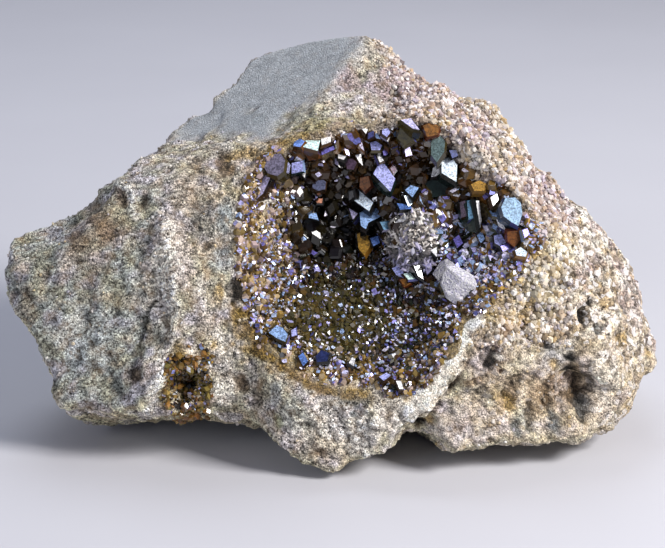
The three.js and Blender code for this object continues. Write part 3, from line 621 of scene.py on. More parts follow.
MARKS = [  # across, up, half width, half height, lean, dent, strength, colour
    # the left face
    (-20, 1.6, 2.2, 5.6, 0, 0, 0.85, "pale"), (-28.6, 6.8, 3, 5.2, 38, 0, 0.7, "bark"),
    (-30.9, 4, 1.9, 1.5, 20, 0.15, 0.7, "rust"), (-28, 5.4, 1.8, 3, 35, 0.15, 0.6, "rust"),
    (-25.9, 9.6, 1, 1.8, 20, 0.1, 0.6, "rust"), (-29, 8.4, 1.4, 2.2, 45, 0.1, 0.45, "dusk"),
    (-32.5, 2, 1.6, 1.2, 0, 0, 0.5, "blush"), (-37.5, -2.9, 1.1, 2.6, 0, 0, 0.55, "bark"),
    (-38.6, 1.2, 1.6, 1.4, 0, 0, 0.4, "warm"), (-34.7, -2.5, 0.4, 0.9, 0, 0.3, 0.7, "dusk"),
    (-30, -8, 5, 5, 10, 0, 0.6, "frost"), (-30.2, 1, 3, 4.4, 0, 0, 0.35, "bark"),
    (-21.6, -2.6, 3.4, 4.4, 0, 0, 0.4, "cream"), (-27.3, -9.8, 0.6, 0.6, 0, 0.2, 0.8, "umber"),
    (-24.2, -12.3, 1.1, 1.5, -20, 0.5, 0.75, "umber"), (-24.5, 4.5, 0.4, 0.4, 0, 0.2, 0.7, "umber"),
    # the first mark below, bark brown over a small dent, is painted shadow beside the pale ridge
    (-23.2, 9.1, 0.6, 1.6, -10, 0.15, 0.6, "bark"), (-19.1, 8.6, 0.8, 0.7, 0, 0.1, 0.6, "bark"),
    (-16.9, 13.5, 1.2, 1, 0, 0.2, 0.65, "bark"), (-16.8, 9, 3.6, 6.4, 0, 0, 0.42, "bark"),
    (-18.6, 11, 2.6, 1.8, 0, 0, 0.35, "blush"), (-15.3, 3.6, 0.6, 0.6, 0, 0.2, 0.75, "umber"),
    (-13.2, 13.3, 1.5, 2, 30, 0.35, 0.85, "umber"), (-14.2, 11.7, 0.7, 0.7, 0, 0.1, 0.7, "bark"),
    (-15.6, 10.4, 1.8, 1.2, 0, 0, 0.5, "sand"), (-13.2, 7.2, 1.6, 2.6, -8, 0.3, 0.8, "steel"),
    (-12.9, 4, 1, 1.6, 0, 0.2, 0.6, "dusk"), (-13.6, 1.7, 1.8, 1.6, 0, 0.1, 0.65, "steel"),
    (-15.6, 6.6, 2.2, 3.4, 0, 0, 0.6, "dusk"), (-18.4, 1.2, 1.8, 4.5, 0, -0.1, 0.5, "blush"),
    (-22.6, 0.6, 0.9, 1.4, 0, -0.15, 0.55, "blush"), (-13.9, -2.5, 0.7, 1.4, 0, 0, 0.8, "honey"),
    (-9.6, 3.6, 1.8, 7.2, 0, 0, 0.75, "honey"), (-8.2, 12.4, 1.8, 2.6, -20, 0, 0.7, "honey"),
    (-11.2, -2, 1.9, 2.5, 0, 0.9, 0.98, "painted_hole_shade"), (-11.6, -4.9, 1.2, 1.6, 0, 0.2, 0.9, "ochre"),
    (-15.2, -4.6, 2, 3, 0, 0, 0.5, "sand"), (-14.5, -8.7, 0.7, 0.9, 0, 0, 0.8, "honey"),
    # round the small pocket
    (-18.9, -9.8, 1.6, 2.2, 10, 0.3, 0.8, "ochre"), (-20.3, -15, 0.8, 2.3, 4, 0.1, 0.9, "ochre"),
    (-17.6, -13, 2.4, 3.4, -6, 0.5, 0.8, "loam"), (-17.2, -12.9, 0.9, 1.4, -8, 0.5, 0.85, "painted_hole_shade"),
    (-15.6, -15.8, 1.2, 1.4, 0, 0.2, 0.7, "umber"), (-13.2, -14.8, 1.9, 1.9, 0, -0.15, 0.6, "cream"),
    # under the hollow, down to the tip
    (-1.8, -18.6, 6, 4.6, 0, 0, 0.6, "cream"), (-13.2, -10.5, 1.8, 5, 0, 0, 0.55, "cream"),
    (-10.9, -6.8, 1.6, 2.2, 0, 0, 0.7, "ochre"), (-8.2, -9.7, 4.2, 1.2, -14, 0.1, 0.9, "ochre"),
    (-10.4, -6.4, 1, 1.6, 0, 0.1, 0.8, "loam"), (-9, -8.9, 1.9, 1.1, -35, 0.1, 0.85, "loam"),
    (-5.6, -11.6, 2.6, 1, -33, 0.1, 0.85, "loam"), (-1.6, -14, 2.4, 0.9, -22, 0.1, 0.8, "loam"),
    (2.6, -15.3, 2.4, 0.8, -8, 0, 0.75, "loam"), (-11.2, -13.6, 0.9, 1.6, 8, 0.5, 0.75, "umber"),
    (-9.4, -15.3, 1.2, 2.2, 0, 0.2, 0.6, "bark"), (-7, -14.9, 1, 2.3, 0, 0, 0.5, "slate"),
    (-6.6, -18.1, 0.6, 1.3, 12, 0, 0.8, "moss"), (-4.6, -17.4, 2.4, 2.6, 20, 0, 0.4, "sage"),
    (7.6, -16.2, 4.2, 2.8, 25, 0, 0.75, "cream"), (-1, -21.6, 3.4, 1.9, 0, 0, 0.5, "warm"),
    (-1.4, -22, 0.8, 0.7, 0, 0.1, 0.7, "rust"), (-4, -20.6, 0.6, 0.6, 0, 0.1, 0.6, "bark"),
    (1.6, -22.2, 0.5, 0.7, 0, 0.1, 0.6, "bark"), (4, -19.2, 1.7, 3, 0, -0.15, 0.85, "cream"),
    (2.4, -17.2, 0.6, 0.6, 0, 0.25, 0.65, "steel"), (2.6, -15.9, 3, 0.8, 6, 0, 0.45, "steel"),
    (7, -17.3, 0.7, 1.4, 0, 0.2, 0.8, "bark"), (9.3, -15.1, 0.7, 1.2, -10, 0.1, 0.85, "honey"),
    (10.6, -18.3, 0.9, 0.7, 20, 0.7, 0.95, "painted_hole_shade"), (11.8, -17.9, 0.8, 0.8, 0, 0, 0.8, "honey"),
    # the weathered top and the upper right edge
    (9.5, 23, 6, 4, 0, 0, 0.8, "mauve"), (17, 17.6, 4, 3, -40, 0, 0.7, "mauve"),
    (26.6, 8.8, 3, 4.6, 30, 0, 0.8, "mauve"), (25.5, -1.3, 4.6, 5.2, 0, 0, 0.45, "olive_grey"),
    (28, 3.2, 2.2, 2.6, 30, 0, 0.4, "lichen_and_bounce_light"), (36.6, -3.4, 1.6, 3.6, 10, 0, 0.4, "mauve"),
    # the lower right, with its upright grooves
    (19.9, -10.4, 1.7, 2.4, 0, 0.1, 0.6, "wine"), (19.4, -10.8, 1.35, 1.9, 6, 0.8, 0.98, "painted_hole_shade"),
    (20.6, -10.2, 0.5, 0.5, 0, 0.1, 0.8, "pale"), (20.8, -12, 0.5, 0.6, 0, 0.3, 0.9, "wine"),
    (17.9, -13, 1, 0.7, 0, 0.2, 0.8, "rust"), (16.7, -13.2, 1, 0.8, 0, 0.1, 0.6, "rust"),
    (18, -9.6, 1.6, 2.6, -30, 0, 0.4, "blush"), (19.3, -12.6, 1.4, 0.8, 0, 0.1, 0.6, "bark"),
    (30.6, -15.6, 1.3, 2.8, 6, 0.6, 0.75, "umber"), (26.6, -14.9, 1.5, 3.4, 0, 0.2, 0.6, "rust"),
    (22, -14.9, 1, 2, 10, 0.4, 0.75, "umber"), (24, -17.6, 1, 2, 10, 0.4, 0.6, "steel"),
    (20.5, -16, 1, 2.4, 8, 0.1, 0.55, "honey"), (24.9, -14.6, 1.2, 3, 4, 0.2, 0.6, "rust"),
    (27.8, -13.6, 1, 2.4, 0, 0.2, 0.6, "rust"), (17.4, -16.2, 1, 2.2, -8, 0.1, 0.5, "warm"),
    (31.6, -12.6, 0.8, 2.6, 6, 0.3, 0.7, "umber"), (28.6, -16.4, 1.2, 2.4, 8, 0.3, 0.6, "bark"),
    # the two marks below and the first on the next line, bark brown over small dents, are painted shadow
    # along the lip's right side
    (18.4, -7.6, 1, 2, -40, 0.3, 0.75, "bark"), (16.2, -10.6, 0.9, 2.6, -40, 0.4, 0.75, "bark"),
    (13.6, -14.4, 0.8, 2.4, -45, 0.4, 0.7, "bark"), (22.6, -13, 0.7, 1.5, 0, 0.3, 0.7, "umber"),
    (33, -12.6, 2.4, 3.4, 0, 0, 0.5, "cream"), (24.2, -17.2, 0.7, 1.8, 6, 0.35, 0.7, "bark"),
    # both umber marks below, over dents, are painted shadow along the lip's right edge
    (14.9, -13.5, 0.45, 1.6, -35, 0.5, 0.9, "umber"), (12.6, -16.6, 0.5, 1.4, -50, 0.4, 0.8, "umber"),
    (21.8, -15.7, 0.9, 1.4, 10, 0.3, 0.8, "honey"), (22.6, -18.7, 0.9, 1.8, 10, 0.5, 0.7, "steel"),
    (26.3, -15.2, 0.8, 2.2, 0, 0.5, 0.85, "umber"), (27.1, -18, 0.8, 2, 12, 0.4, 0.7, "steel"),
    (30, -13.6, 2, 4.2, 10, 0.8, 0.75, "umber"), (29.2, -11.6, 0.9, 1.6, 0, 0.4, 0.8, "painted_hole_shade"),
    (31, -16.2, 1.2, 2.2, 0, 0.2, 0.55, "steel"), (26, -8.6, 0.6, 1, 0, 0.4, 0.8, "umber"),
    (27.6, -10, 2.2, 1.9, 0, 0.1, 0.45, "steel"), (27.2, -11, 0.7, 0.8, 0, 0.2, 0.7, "honey"),
    (24.2, -12.7, 0.8, 1.6, 0, 0.2, 0.55, "warm"), (15, -17.4, 3, 2.2, 0, 0, 0.4, "blush"),
    (20.8, -13.4, 3.4, 1.6, 0, 0.1, 0.5, "bark"), (24, -10.8, 1.4, 1.4, 0, 0, 0.4, "sand"),
    # the sugary right side
    (30.9, -5, 0.75, 1.5, 10, 1.3, 0.97, "painted_hole_shade"), (31.7, -3.5, 0.5, 0.5, 0, 0.6, 0.9, "painted_hole_shade"),
    (32.6, -6.7, 0.8, 0.9, 0, 0.4, 0.7, "steel"), (21.5, -5.3, 0.8, 1.5, 10, 0.1, 0.7, "honey"),
    (23.9, -4.7, 1.2, 1.9, 0, 0.1, 0.65, "honey"), (33.6, -3.2, 1.4, 1.6, 0, 0.1, 0.6, "honey"),
    (35.6, -8.1, 1.1, 0.9, 0, 0.1, 0.6, "honey"), (38.9, -9.6, 0.7, 0.8, 0, 0, 0.6, "honey"),
    (21.1, -7.2, 0.9, 1, 0, 0.2, 0.7, "rust"), (24.8, 2.4, 0.8, 2.1, 0, 0, 0.7, "honey"),
    (29.4, 4.2, 1.2, 1, 0, 0, 0.55, "honey"), (33.2, 2.9, 0.8, 0.8, 0, 0, 0.5, "honey"),
    (20, -3, 2.4, 1.6, -30, 0, 0.5, "warm"), (26.6, 0.6, 1.6, 1.4, 0, 0, 0.4, "honey"),
    (15.6, 20.6, 1.6, 1.3, 0, 0.1, 0.6, "mauve"), (18.6, 18, 1.3, 2.2, 10, 0.3, 0.65, "mauve"),
    (23.6, 10.6, 1.1, 1.3, 0, 0.1, 0.55, "mauve"), (28.7, 7.4, 1.4, 1.4, 0, 0.2, 0.5, "mauve"),
    # the first mark below is painted light: a pale patch where the rock faces down into the hollow
    (17.4, 14.2, 2.8, 1.6, -35, 0, 0.8, "pale"), (16.4, 13.6, 0.8, 1.3, 10, 0, 0.7, "honey"),
    # the top
    (2.1, 24, 1.9, 2, 0, 0.1, 0.6, "mauve"), (7.7, 22.5, 0.8, 1.2, 0, 0.3, 0.7, "bark"),
    (6.4, 19, 0.8, 0.9, 0, 0.3, 0.75, "umber"), (-2.7, 19, 3.8, 1.6, 10, 0, 0.5, "moss"),
    (-9.6, 14.6, 4, 1, 4, 0.1, 0.65, "honey"), (-9.4, 19.4, 1.2, 0.9, 0, 0, 0.35, "steel"),
]
CRESTS = [  # half width, height, strength, then the line's corners as (across, up)
    (1.4, 0.55, 1.0, (18.6, -2.2), (17.6, -4.2), (16.7, -5.9), (16.1, -7.5), (15.4, -9.3),
     (14.5, -10.9), (13.7, -12.5), (12.7, -14.2), (11.3, -15.5), (9.5, -16.9)),
    (0.6, 0.3, 0.75, (-26.4, 11.3), (-24.9, 10.2), (-24.4, 8.8), (-24.2, 7.0)),
    (1.2, 0.15, 0.5, (-20.6, 2.9), (-20.2, -0.1), (-19.6, -3.2), (-19.2, -5.0), (-19.8, -7.5)),
    (0.9, 0.25, 0.7, (-19.8, -7.5), (-20.3, -9.3), (-20.9, -12.2), (-21.8, -14.2), (-22.5, -16.6)),
]
# the crack is painted near-black: painted shade
CRACK = (0.28, -0.8, 0.85, (-21.8, -3.4), (-22.5, -4.2), (-23.0, -5.4), (-23.2, -6.7), (-23.5, -8.0))
# the ridges' pale is partly their own pale rock and partly a painted highlight along them
CREST_COLOUR = "pale"
CRACK_COLOUR = "painted_hole_shade"
print("colours:", len(ROCK_COLOURS), "marks:", len(MARKS), "lines:", len(CRESTS) + 1)

# %% [markdown]
# ## The share of each point in a mark
# An oval is a distance, stretched along two leaning directions and turned into a soft dome. A line
# is the distance to the nearest of its spans. A little noise frays the edges of both. The first
# ridge is the lip of the hollow. It is fine-grained, so the rock near it counts as less coarse.

# %% Shapes of the marks
OVAL_EDGE = (0.45, 1.15)  # an oval fades out between these shares of its half width
FRAY_SHARE = 0.28  # how far the noise moves that edge
fray = lumps(flat_stone, 0.9, 21) + 0.6 * lumps(flat_stone, 0.45, 22)


def oval(mark_across, mark_up, half_width, half_height, lean):
    """1 in the middle of a leaning oval on the front and 0 outside it: a frayed, soft dome."""
    lean = np.radians(lean)
    right, over = across - mark_across, up - mark_up
    long_way = (right * np.sin(-lean) + over * np.cos(lean)) / half_height
    short_way = (right * np.cos(lean) + over * np.sin(lean)) / half_width
    reach = np.hypot(long_way, short_way) + FRAY_SHARE * fray
    return (1 - ramp(reach, *OVAL_EDGE)) * front


def line_distance(corners):
    """Distance on the sight plane from each point to a line with corners."""
    here = np.column_stack([across, up])
    nearest = np.full(len(here), np.inf)
    for start, end in zip(corners[:-1], corners[1:]):
        run = end - start
        share = np.clip((here - start) @ run / (run @ run), 0, 1)
        nearest = np.minimum(nearest, np.linalg.norm(here - start - share[:, None] * run, axis=1))
    return nearest


def line_share(half_width, height, strength, *corners):
    """1 on a line on the front and 0 a little further than `half_width` from it."""
    distance = line_distance(np.array(corners)) + 0.5 * half_width * fray
    return strength * (1 - ramp(distance, 0.3 * half_width, 1.2 * half_width)) * front


ovals = [oval(*mark[:5]) for mark in MARKS]
crests = [line_share(*crest) for crest in CRESTS]
crack_share = line_share(*CRACK) * ramp(fray, -1.0, -0.1)
crest_share = np.max(crests, axis=0)
lip_share = crests[0]
lip_distance = line_distance(np.array(CRESTS[0][3:])) + 0.5 * wander
coarse_share *= 1 - 0.85 * front * (1 - ramp(lip_distance, 1.5, 4.5))
print("points inside a mark:", int((np.max(ovals, axis=0) > 0.5).sum()))

# %% [markdown]
# ## Relief
# Every point moves out or in along its own direction by the sum of all the roughness. Swells and
# lumps come first, and low on the front some are drawn out into streaks. Then come the grains,
# small ones everywhere and larger ones where the rock is coarse. A few of the small ones are pits
# instead. The smooth top and the lip of the hollow keep only a part of all this.

# %% Swells, lumps and grains
SWELL, LUMP, STREAK, KNOT = 3.4, 1.7, 1.5, 0.8  # how wide each kind is, millimetres
SMALL_GRAIN, LARGE_GRAIN = 0.62, 0.88
PIT_SHARE = 0.90  # small grains whose own number is above this are pits
PIT_DEPTH = 0.35

streak_axis = unit(0.25 * RIGHT - 1.0 * UPWARD)
along_streak = (flat_stone @ streak_axis)[:, None] * streak_axis
streaked = flat_stone - 0.72 * along_streak

rough = 0.40 * lumps(flat_stone, SWELL, 31) + 0.20 * lumps(flat_stone, LUMP, 32)
rough += 0.26 * streak_share * lumps(streaked, STREAK, 33)
rough += (0.20 - 0.08 * coarse_share) * lumps(flat_stone, KNOT, 34)
fine_distance, fine_number = grains(flat_stone, SMALL_GRAIN, 41)
grain_distance, grain_number = grains(flat_stone, LARGE_GRAIN, 51)
fine = 0.42 * (0.5 - fine_distance) + 0.2 * (fine_number - 0.5)
sugary = 0.52 * (0.5 - grain_distance) + 0.22 * (grain_number - 0.5)
rough += fine * (1 - 0.6 * coarse_share) + sugary * coarse_share
pitted = (fine_number > PIT_SHARE) * (1 - ramp(fine_distance, 0.2, 0.62))
rough -= PIT_DEPTH * pitted * (1 - coarse_share)
rough *= 1 - 0.88 * smooth_share - 0.45 * lip_share * (1 - smooth_share)
print("swells, lumps and grains, mm:", np.round([rough.min(), rough.max()], 2))

# %% [markdown]
# ## Dents, ridges and notches
# The marks dent this surface and the ridges stand out of it. All roughness ends at the rim, since
# garnets hide the rock inside it, and fades near the base, which stays nearly flat. A few notches
# push the stone's edge in or out, square to the line of sight. The smooth top is drawn most of the
# way onto the plane that fits it best, square to the direction in which its points spread least.
# At the end the surface is held inside the solids' box, give or take a grain.

# %% Raise and dent the surface
NOTCHES = [  # across, up, reach and push inwards, in millimetres
    (-15.4, 19.5, 2.5, 2.1), (-17.6, 17.5, 2.2, 1.3), (16.4, 21.5, 3.2, 1.0),
    (28.6, 9.5, 3.0, 0.9), (-31.5, 7.3, 2.6, 0.5), (-37.8, 5.2, 3.0, -1.0),
    (-40.0, 1.7, 2.0, 0.6), (-35.0, -15.5, 3.0, -0.5), (10.4, 24.2, 2.5, -0.5),
    (38.4, -5.4, 2.4, -0.7), (40.3, -9.0, 2.4, 0.6),
]
FLATTENING = 0.85  # the share of its distance to the plane that the smooth top gives up
FLATTENING_REACH = 2.0  # millimetres beyond which it gives up no more
BOX_ROOM = 0.4  # millimetres that the grains may stand out of the solids' box

for mark, shape in zip(MARKS, ovals):
    rough -= mark[5] * shape
for (_, height, *_), share in zip(CRESTS + [CRACK], crests + [crack_share]):
    rough += height * share
rough *= outside_share
on_base = ramp(flat_stone[:, 2], 0.15, 1.2)
rough *= 0.25 + 0.75 * on_base

stone_points = flat_stone + flat_normal * rough[:, None]
inward = (HEART - flat_stone) - ((HEART - flat_stone) @ BEHIND)[:, None] * BEHIND
for notch_across, notch_up, reach, push in NOTCHES:
    near = 1 - ramp(np.hypot(across - notch_across, up - notch_up), 0.2 * reach, reach)
    stone_points += unit(inward) * (push * near * on_base)[:, None]
flat_part = smooth_share > 0.5
flat_middle = stone_points[flat_part].mean(axis=0)
flat_square = np.linalg.svd(stone_points[flat_part] - flat_middle, full_matrices=False)[2][2]
off_plane = (stone_points - flat_middle) @ flat_square
off_plane = np.clip(off_plane, -FLATTENING_REACH, FLATTENING_REACH)
stone_points -= (FLATTENING * smooth_share * off_plane)[:, None] * flat_square
low_limit = SOLID_BOX[0] - [BOX_ROOM, BOX_ROOM, 0]
stone_points = np.clip(stone_points, low_limit, SOLID_BOX[1] + BOX_ROOM)
print("roughness, mm:", np.round([rough.min(), rough.max()], 2))

# %% [markdown]
# ## The stone's colours
# Colours are laid on one after another, as glazes are, each with its own share at every point. The
# wide ones come first: grey-green on the left, sand on the right, slate on the smooth top, a warm
# stain low on the right, a pale yellow-green on all that faces down, which is painted light thrown
# up from below, and rust, slate and sand over the back. Then patches the size of a peppercorn make
# the fine rock less even, and others make the coarse rock sugary and brown.

# %% Wide colours and patches
def glaze(colour, share):
    """Moves the stone's tone towards a named colour by a share that varies over it."""
    tone[:] = tone + (np.array(ROCK_COLOURS[colour]) - tone) * share[:, None]


tone = np.full((len(flat_stone), 3), ROCK_COLOURS["beige"])
glaze("grey_green", front * (1 - ramp(across + wander, -26, -17)) * (1 - ramp(up, 10, 14)))
glaze("sand", 0.7 * coarse_share)
glaze("cream", 0.35 * ramp(across + wander, 27, 36) * front)
glaze("slate", 0.9 * smooth_share)
glaze("warm", 0.75 * front * ramp(-up + wander, 2, 8) * ramp(across + wander, 12, 18))
# painted light: what faces down is glazed pale yellow-green, as if lit from below
glaze("lichen_and_bounce_light", 0.9 * ramp(-flat_normal[:, 2], 0.0, 0.5) * (1 - coarse_share))
back_share = 1 - ramp(toward_eye, -0.45, 0.05)
glaze("rust", 0.5 * back_share * ramp(lumps(flat_stone, 9.0, 61), 0.15, 0.6))
glaze("slate", 0.5 * back_share * ramp(lumps(flat_stone, 12.0, 62), 0.1, 0.5))
glaze("sand", 0.6 * back_share * ramp(lumps(flat_stone, 7.0, 63), 0.1, 0.5))
blotch = lumps(flat_stone, 2.3, 64)
glaze("warm", 0.5 * ramp(blotch, 0.1, 0.6) * (1 - smooth_share))
glaze("steel", 0.22 * ramp(-blotch, 0.2, 0.7) * (1 - coarse_share) * (1 - smooth_share))
fine_part = front * (1 - coarse_share) * (1 - smooth_share)
hue = lumps(flat_stone, 1.5, 75)
glaze("olive_grey", 0.55 * fine_part * ramp(hue, 0.05, 0.5))
glaze("lilac_grey", 0.55 * fine_part * ramp(-hue, 0.05, 0.5))
glaze("tan", 0.5 * fine_part * ramp(lumps(flat_stone, 1.0, 76), 0.25, 0.6))
sugar = coarse_share * front
glaze("bark", 0.75 * sugar * ramp(lumps(flat_stone, 1.5, 66), 0.1, 0.55))
high = ramp(up, 3, 14)
glaze("honey", 0.45 * sugar * ramp(lumps(flat_stone, 2.1, 67) - 0.25 * high, 0.2, 0.6))
glaze("mauve", 0.75 * sugar * ramp(lumps(flat_stone, 2.6, 68) + 0.5 * high, 0.3, 0.7))
glaze("pale", 0.75 * sugar * ramp(lumps(flat_stone, 1.1, 69), 0.3, 0.6))
print("mean colour of the front so far:", np.round(tone[toward_eye > 0.2].mean(axis=0), 2))

# %% [markdown]
# ## Grains, border and marks
# Each large grain brings a mineral's colour of its own. A thin ochre border runs along the rim,
# outside the garnets. Over it come the marks, the pale ridges, which are partly painted highlight,
# and the dark crack, painted near-black as shade. Last come painted light and shade: what stands
# proud of its surroundings is painted lighter, and what lies in a crease darker.

# %% Fine colours
GRAIN_NAMES = ("cream", "warm", "blush", "cream", "bark", "sand", "honey", "rust")
BORDER_WIDTH = 1.6  # the ochre border outside the rim, millimetres
SHADE_ROUNDS = 5  # rounds of softening that find the surroundings' height

grain_paints = np.array([ROCK_COLOURS[name] for name in GRAIN_NAMES])
grain_paint = grain_paints[(grain_number * 7.999).astype(int)]  # one of eight for each grain
tone += (grain_paint - tone) * (0.4 * coarse_share)[:, None]
rim_line = np.column_stack(read_off(closed_curve(sighted(*RIM.T), 6))[:2])
border = 1 - ramp(line_distance(rim_line) + 0.7 * fray, 0.4, BORDER_WIDTH)
border *= front * (1 - 0.95 * ramp(crest_share, 0.0, 0.3)) * (1 - 0.5 * ramp(across + up, 14, 22))
border *= 1 - 0.6 * ramp(-across, 7.5, 10) * ramp(up, -5, -1)
patch = lumps(flat_stone, 0.9, 70)
glaze("ochre", 0.92 * border * ramp(patch, -0.55, 0.0))
glaze("loam", 0.85 * border * ramp(-patch, 0.15, 0.5))
for mark, shape in zip(MARKS, ovals):
    glaze(mark[7], mark[6] * shape)
# painted highlight along the ridges, over their own pale rock
glaze(CREST_COLOUR, 0.95 * crest_share)
glaze(CRACK_COLOUR, 0.85 * crack_share)

# painted light and shade: what stands proud of its surroundings is painted lighter, and what lies in a
# crease darker
proud = rough - softened(rough.reshape(ROWS, COLUMNS), SHADE_ROUNDS).ravel()
tone *= np.clip(1 + (2.8 + 0.8 * coarse_share) * proud, 0.35, 1.4)[:, None]
tone *= (1 + 0.16 * lumps(flat_stone, 0.7, 65))[:, None]
tone = np.clip(tone, 0.01, 0.92)
print("mean colour of the front:", np.round(tone[toward_eye > 0.2].mean(axis=0), 2))

# %% [markdown]
# ## The stone's finish
# What is finer than the grid is left to the shader: a salt-and-pepper of mineral grains, each with
# its own shade, painted shade in the creases between them, dark specks, a few bright glassy ones,
# and a bump that breaks the light. Grains are cells of a Voronoi pattern, so every one keeps one
# shade over its width.

# %% Broken rock
def broken_rock():
    """Grains of many shades over the stone's own tone, with painted shade in the creases between them."""
    rock = Finish("broken_rock", IOR=1.5, Specular_IOR_Level=0.3)
    tone_here = rock.attribute("tone", "Color")
    coarse_here = rock.attribute("coarse")
    smooth_here = rock.attribute("smooth")
    small = rock.red(rock.cells(0.25, "Color"))
    large = rock.red(rock.cells(0.62, "Color"))
    crease = rock.cells(0.25, "Distance")
    dust = rock.noise(0.16, 2.0)
    cloud = rock.noise(1.4, 3.0)
    lit = rock.red(tone_here).rise(0.03, 0.30)  # 0 in the dark holes, which keep their black
    contrast = 1 - 0.72 * smooth_here
    # painted shade: the creases between grains are darkened
    grainy = (small - 0.5) * 1.15 + (dust - 0.5) * 2.4 - crease.rise(0.45, 0.85) * 0.5
    shade = 1.0 + contrast * grainy
    shade = shade + coarse_here * (large - 0.5) * 0.7 + (cloud - 0.5) * 0.3
    dot = rock.red(rock.cells(0.22, "Color"))
    umber_grain = ((1 - large) > 0.93) * coarse_here * 0.6
    speck = ((dot > 0.88) * (0.55 + 0.2 * coarse_here) + umber_grain) * contrast
    glint = (large > 0.84) * coarse_here * lit * 0.6
    shaded = rock.shaded(tone_here, shade)
    stain = 0.45 * cloud.rise(0.5, 0.72) * contrast * lit
    rusty = rock.mixed(stain, shaded, (0.30, 0.19, 0.09, 1))
    dark = rock.mixed(speck, rusty, (0.045, 0.03, 0.02, 1))
    rock.set("Base Color", rock.mixed(glint, dark, (0.93, 0.91, 0.93, 1)))
    rock.set("Roughness", 0.86 - glint * 1.1)
    rock.bump(dust * 0.5 + small * 0.35 + (1 - crease) * 0.4, 1.0, 0.40)
    return rock.material


rock_points = np.concatenate([stone_points, bare_poles])
rock_mesh = mesh_of("host_rock_surface", rock_points, *globe_faces(ROWS, COLUMNS))
calm_share = 0.3 * ramp(across - up + wander, 22, 28) * front  # the rock low on the far right
even_share = np.maximum(np.maximum(smooth_share, 0.5 * lip_share), calm_share)
for name, values in {"tone": tone, "coarse": coarse_share, "smooth": even_share}.items():
    paint(rock_mesh, name, np.concatenate([values, values[:1], values[-1:]]), "POINT")
rock_mesh.shade_smooth()
piece_of(rock_mesh, broken_rock(), ["host_rock"])

# %% [markdown]
# ## The garnet crust: its skin
# The garnets are one crust, fused where they touch. Under them lies a skin of garnet too fine to
# see as crystals. It is the hollow's own shape, lifted by the skin's thickness, and it dives back
# into the rock just past the rim, so no edge of it stands free. The same globe grid makes it, with
# its rows spent inside the rim this time.

# %% The skin of the hollow
SKIN_ROWS = 84
SKIN_COLUMNS = 270
SKIN_REACH = 1.035  # the skin ends this far out, as a step of the globe
SEAT_GAP = 0.45  # between the rock and the underside of the solid crust
SKIN_DEPTH = 0.35  # at the rim
SKIN_SWELL = 0.7  # what it gains towards the middle
EDGE_DIVE = 1.6  # how deep its edge goes under the rock's surface
UNDERSIDE = 1.2  # how far its own underside lies inside the rock
SKIN_START = 0.02  # its first row lies this close to the hollow's axis, as a step
SKIN_ROUNDS = 6  # rounds of softening, against facets

skin_turn = np.linspace(-np.pi, np.pi, SKIN_COLUMNS, endpoint=False)
skin_step = np.linspace(SKIN_START, SKIN_REACH, SKIN_ROWS)
skin_step, skin_turn = np.meshgrid(skin_step, skin_turn, indexing="ij")
hollow, _ = on_solid(rays(skin_step, skin_turn), "host_rock")
hollow = softened(hollow, SKIN_ROUNDS)
lift = SEAT_GAP + SKIN_DEPTH + SKIN_SWELL * (1 - ramp(skin_step, 0.3, 1.0))
flat_hollow = hollow.reshape(-1, 3)
skin_rough = 0.35 * lumps(flat_hollow, 1.6, 71) + 0.22 * lumps(flat_hollow, 0.7, 72)
skin_cell, _ = grains(flat_hollow, 0.75, 73)
skin_rough += 0.4 * (0.5 - skin_cell)
edge_dive = EDGE_DIVE * ramp(skin_step, 0.985, SKIN_REACH)
height = lift - edge_dive + skin_rough.reshape(lift.shape) * (1 - 0.6 * ramp(skin_step, 0.95, 1.02))
skin = hollow + unit(hollow - HEART) * height[..., None]
under_skin = hollow - unit(hollow - HEART) * UNDERSIDE
skin_normal = facing(skin)
shell = np.concatenate([skin, under_skin[::-1]])  # out over the skin, then back under it: one globe
shell_poles = np.array([skin[0].mean(axis=0), under_skin[0].mean(axis=0)])
print("skin, mm above the rock:", np.round([height.min(), height.max()], 2))

# %% [markdown]
# ## Crystal forms
# Andradite grows as a rhombic dodecahedron: twelve rhombic faces, one square to each edge of a
# cube. A crystal that was crowded has some faces nearer its middle than others, and its largest
# ones often carry the narrow faces of the trapezohedron along their edges. So a form is a list of
# face directions, each with its own distance, and the corners are worked out from those.


# %% A convex crystal from its faces
def crystal_form(normals, reach):
    """Corners and faces of the solid that keeps within `reach` of its middle along each normal.

    Every three faces meet in one point. The points that lie beyond no other face are corners. The
    corners on a face, put in order by their angle about its normal, are that face's outline."""
    three = np.array(list(itertools.combinations(range(len(normals)), 3)))
    three = three[np.abs(np.linalg.det(normals[three])) > 1e-3]
    points = np.linalg.solve(normals[three], reach[three][..., None])[..., 0]
    points = points[(points @ normals.T <= reach + 1e-6).all(axis=1)]
    points = np.unique(points.round(4), axis=0)
    faces = []
    for normal, distance in zip(normals, reach):
        on_face = np.flatnonzero(np.abs(points @ normal - distance) < 2e-3)
        if len(on_face) < 3:
            continue
        side = unit(np.cross(normal, [0.31, 0.59, 0.74]))
        over = np.cross(normal, side)
        spokes = points[on_face] - points[on_face].mean(axis=0)
        faces.append(on_face[np.argsort(np.arctan2(spokes @ over, spokes @ side))])
    return points, faces


def signed(pattern):
    """Every arrangement of a triple of numbers over three axes, with every choice of signs."""
    found = set()
    for order in itertools.permutations(pattern):
        for signs in itertools.product((-1, 1), repeat=3):
            found.add(tuple(float(s * v) + 0.0 for s, v in zip(signs, order)))
    return unit(np.array(sorted(found)))


DODECAHEDRON = signed((1, 1, 0))
TRAPEZOHEDRON = signed((2, 1, 1))
shapes = np.random.default_rng(7)


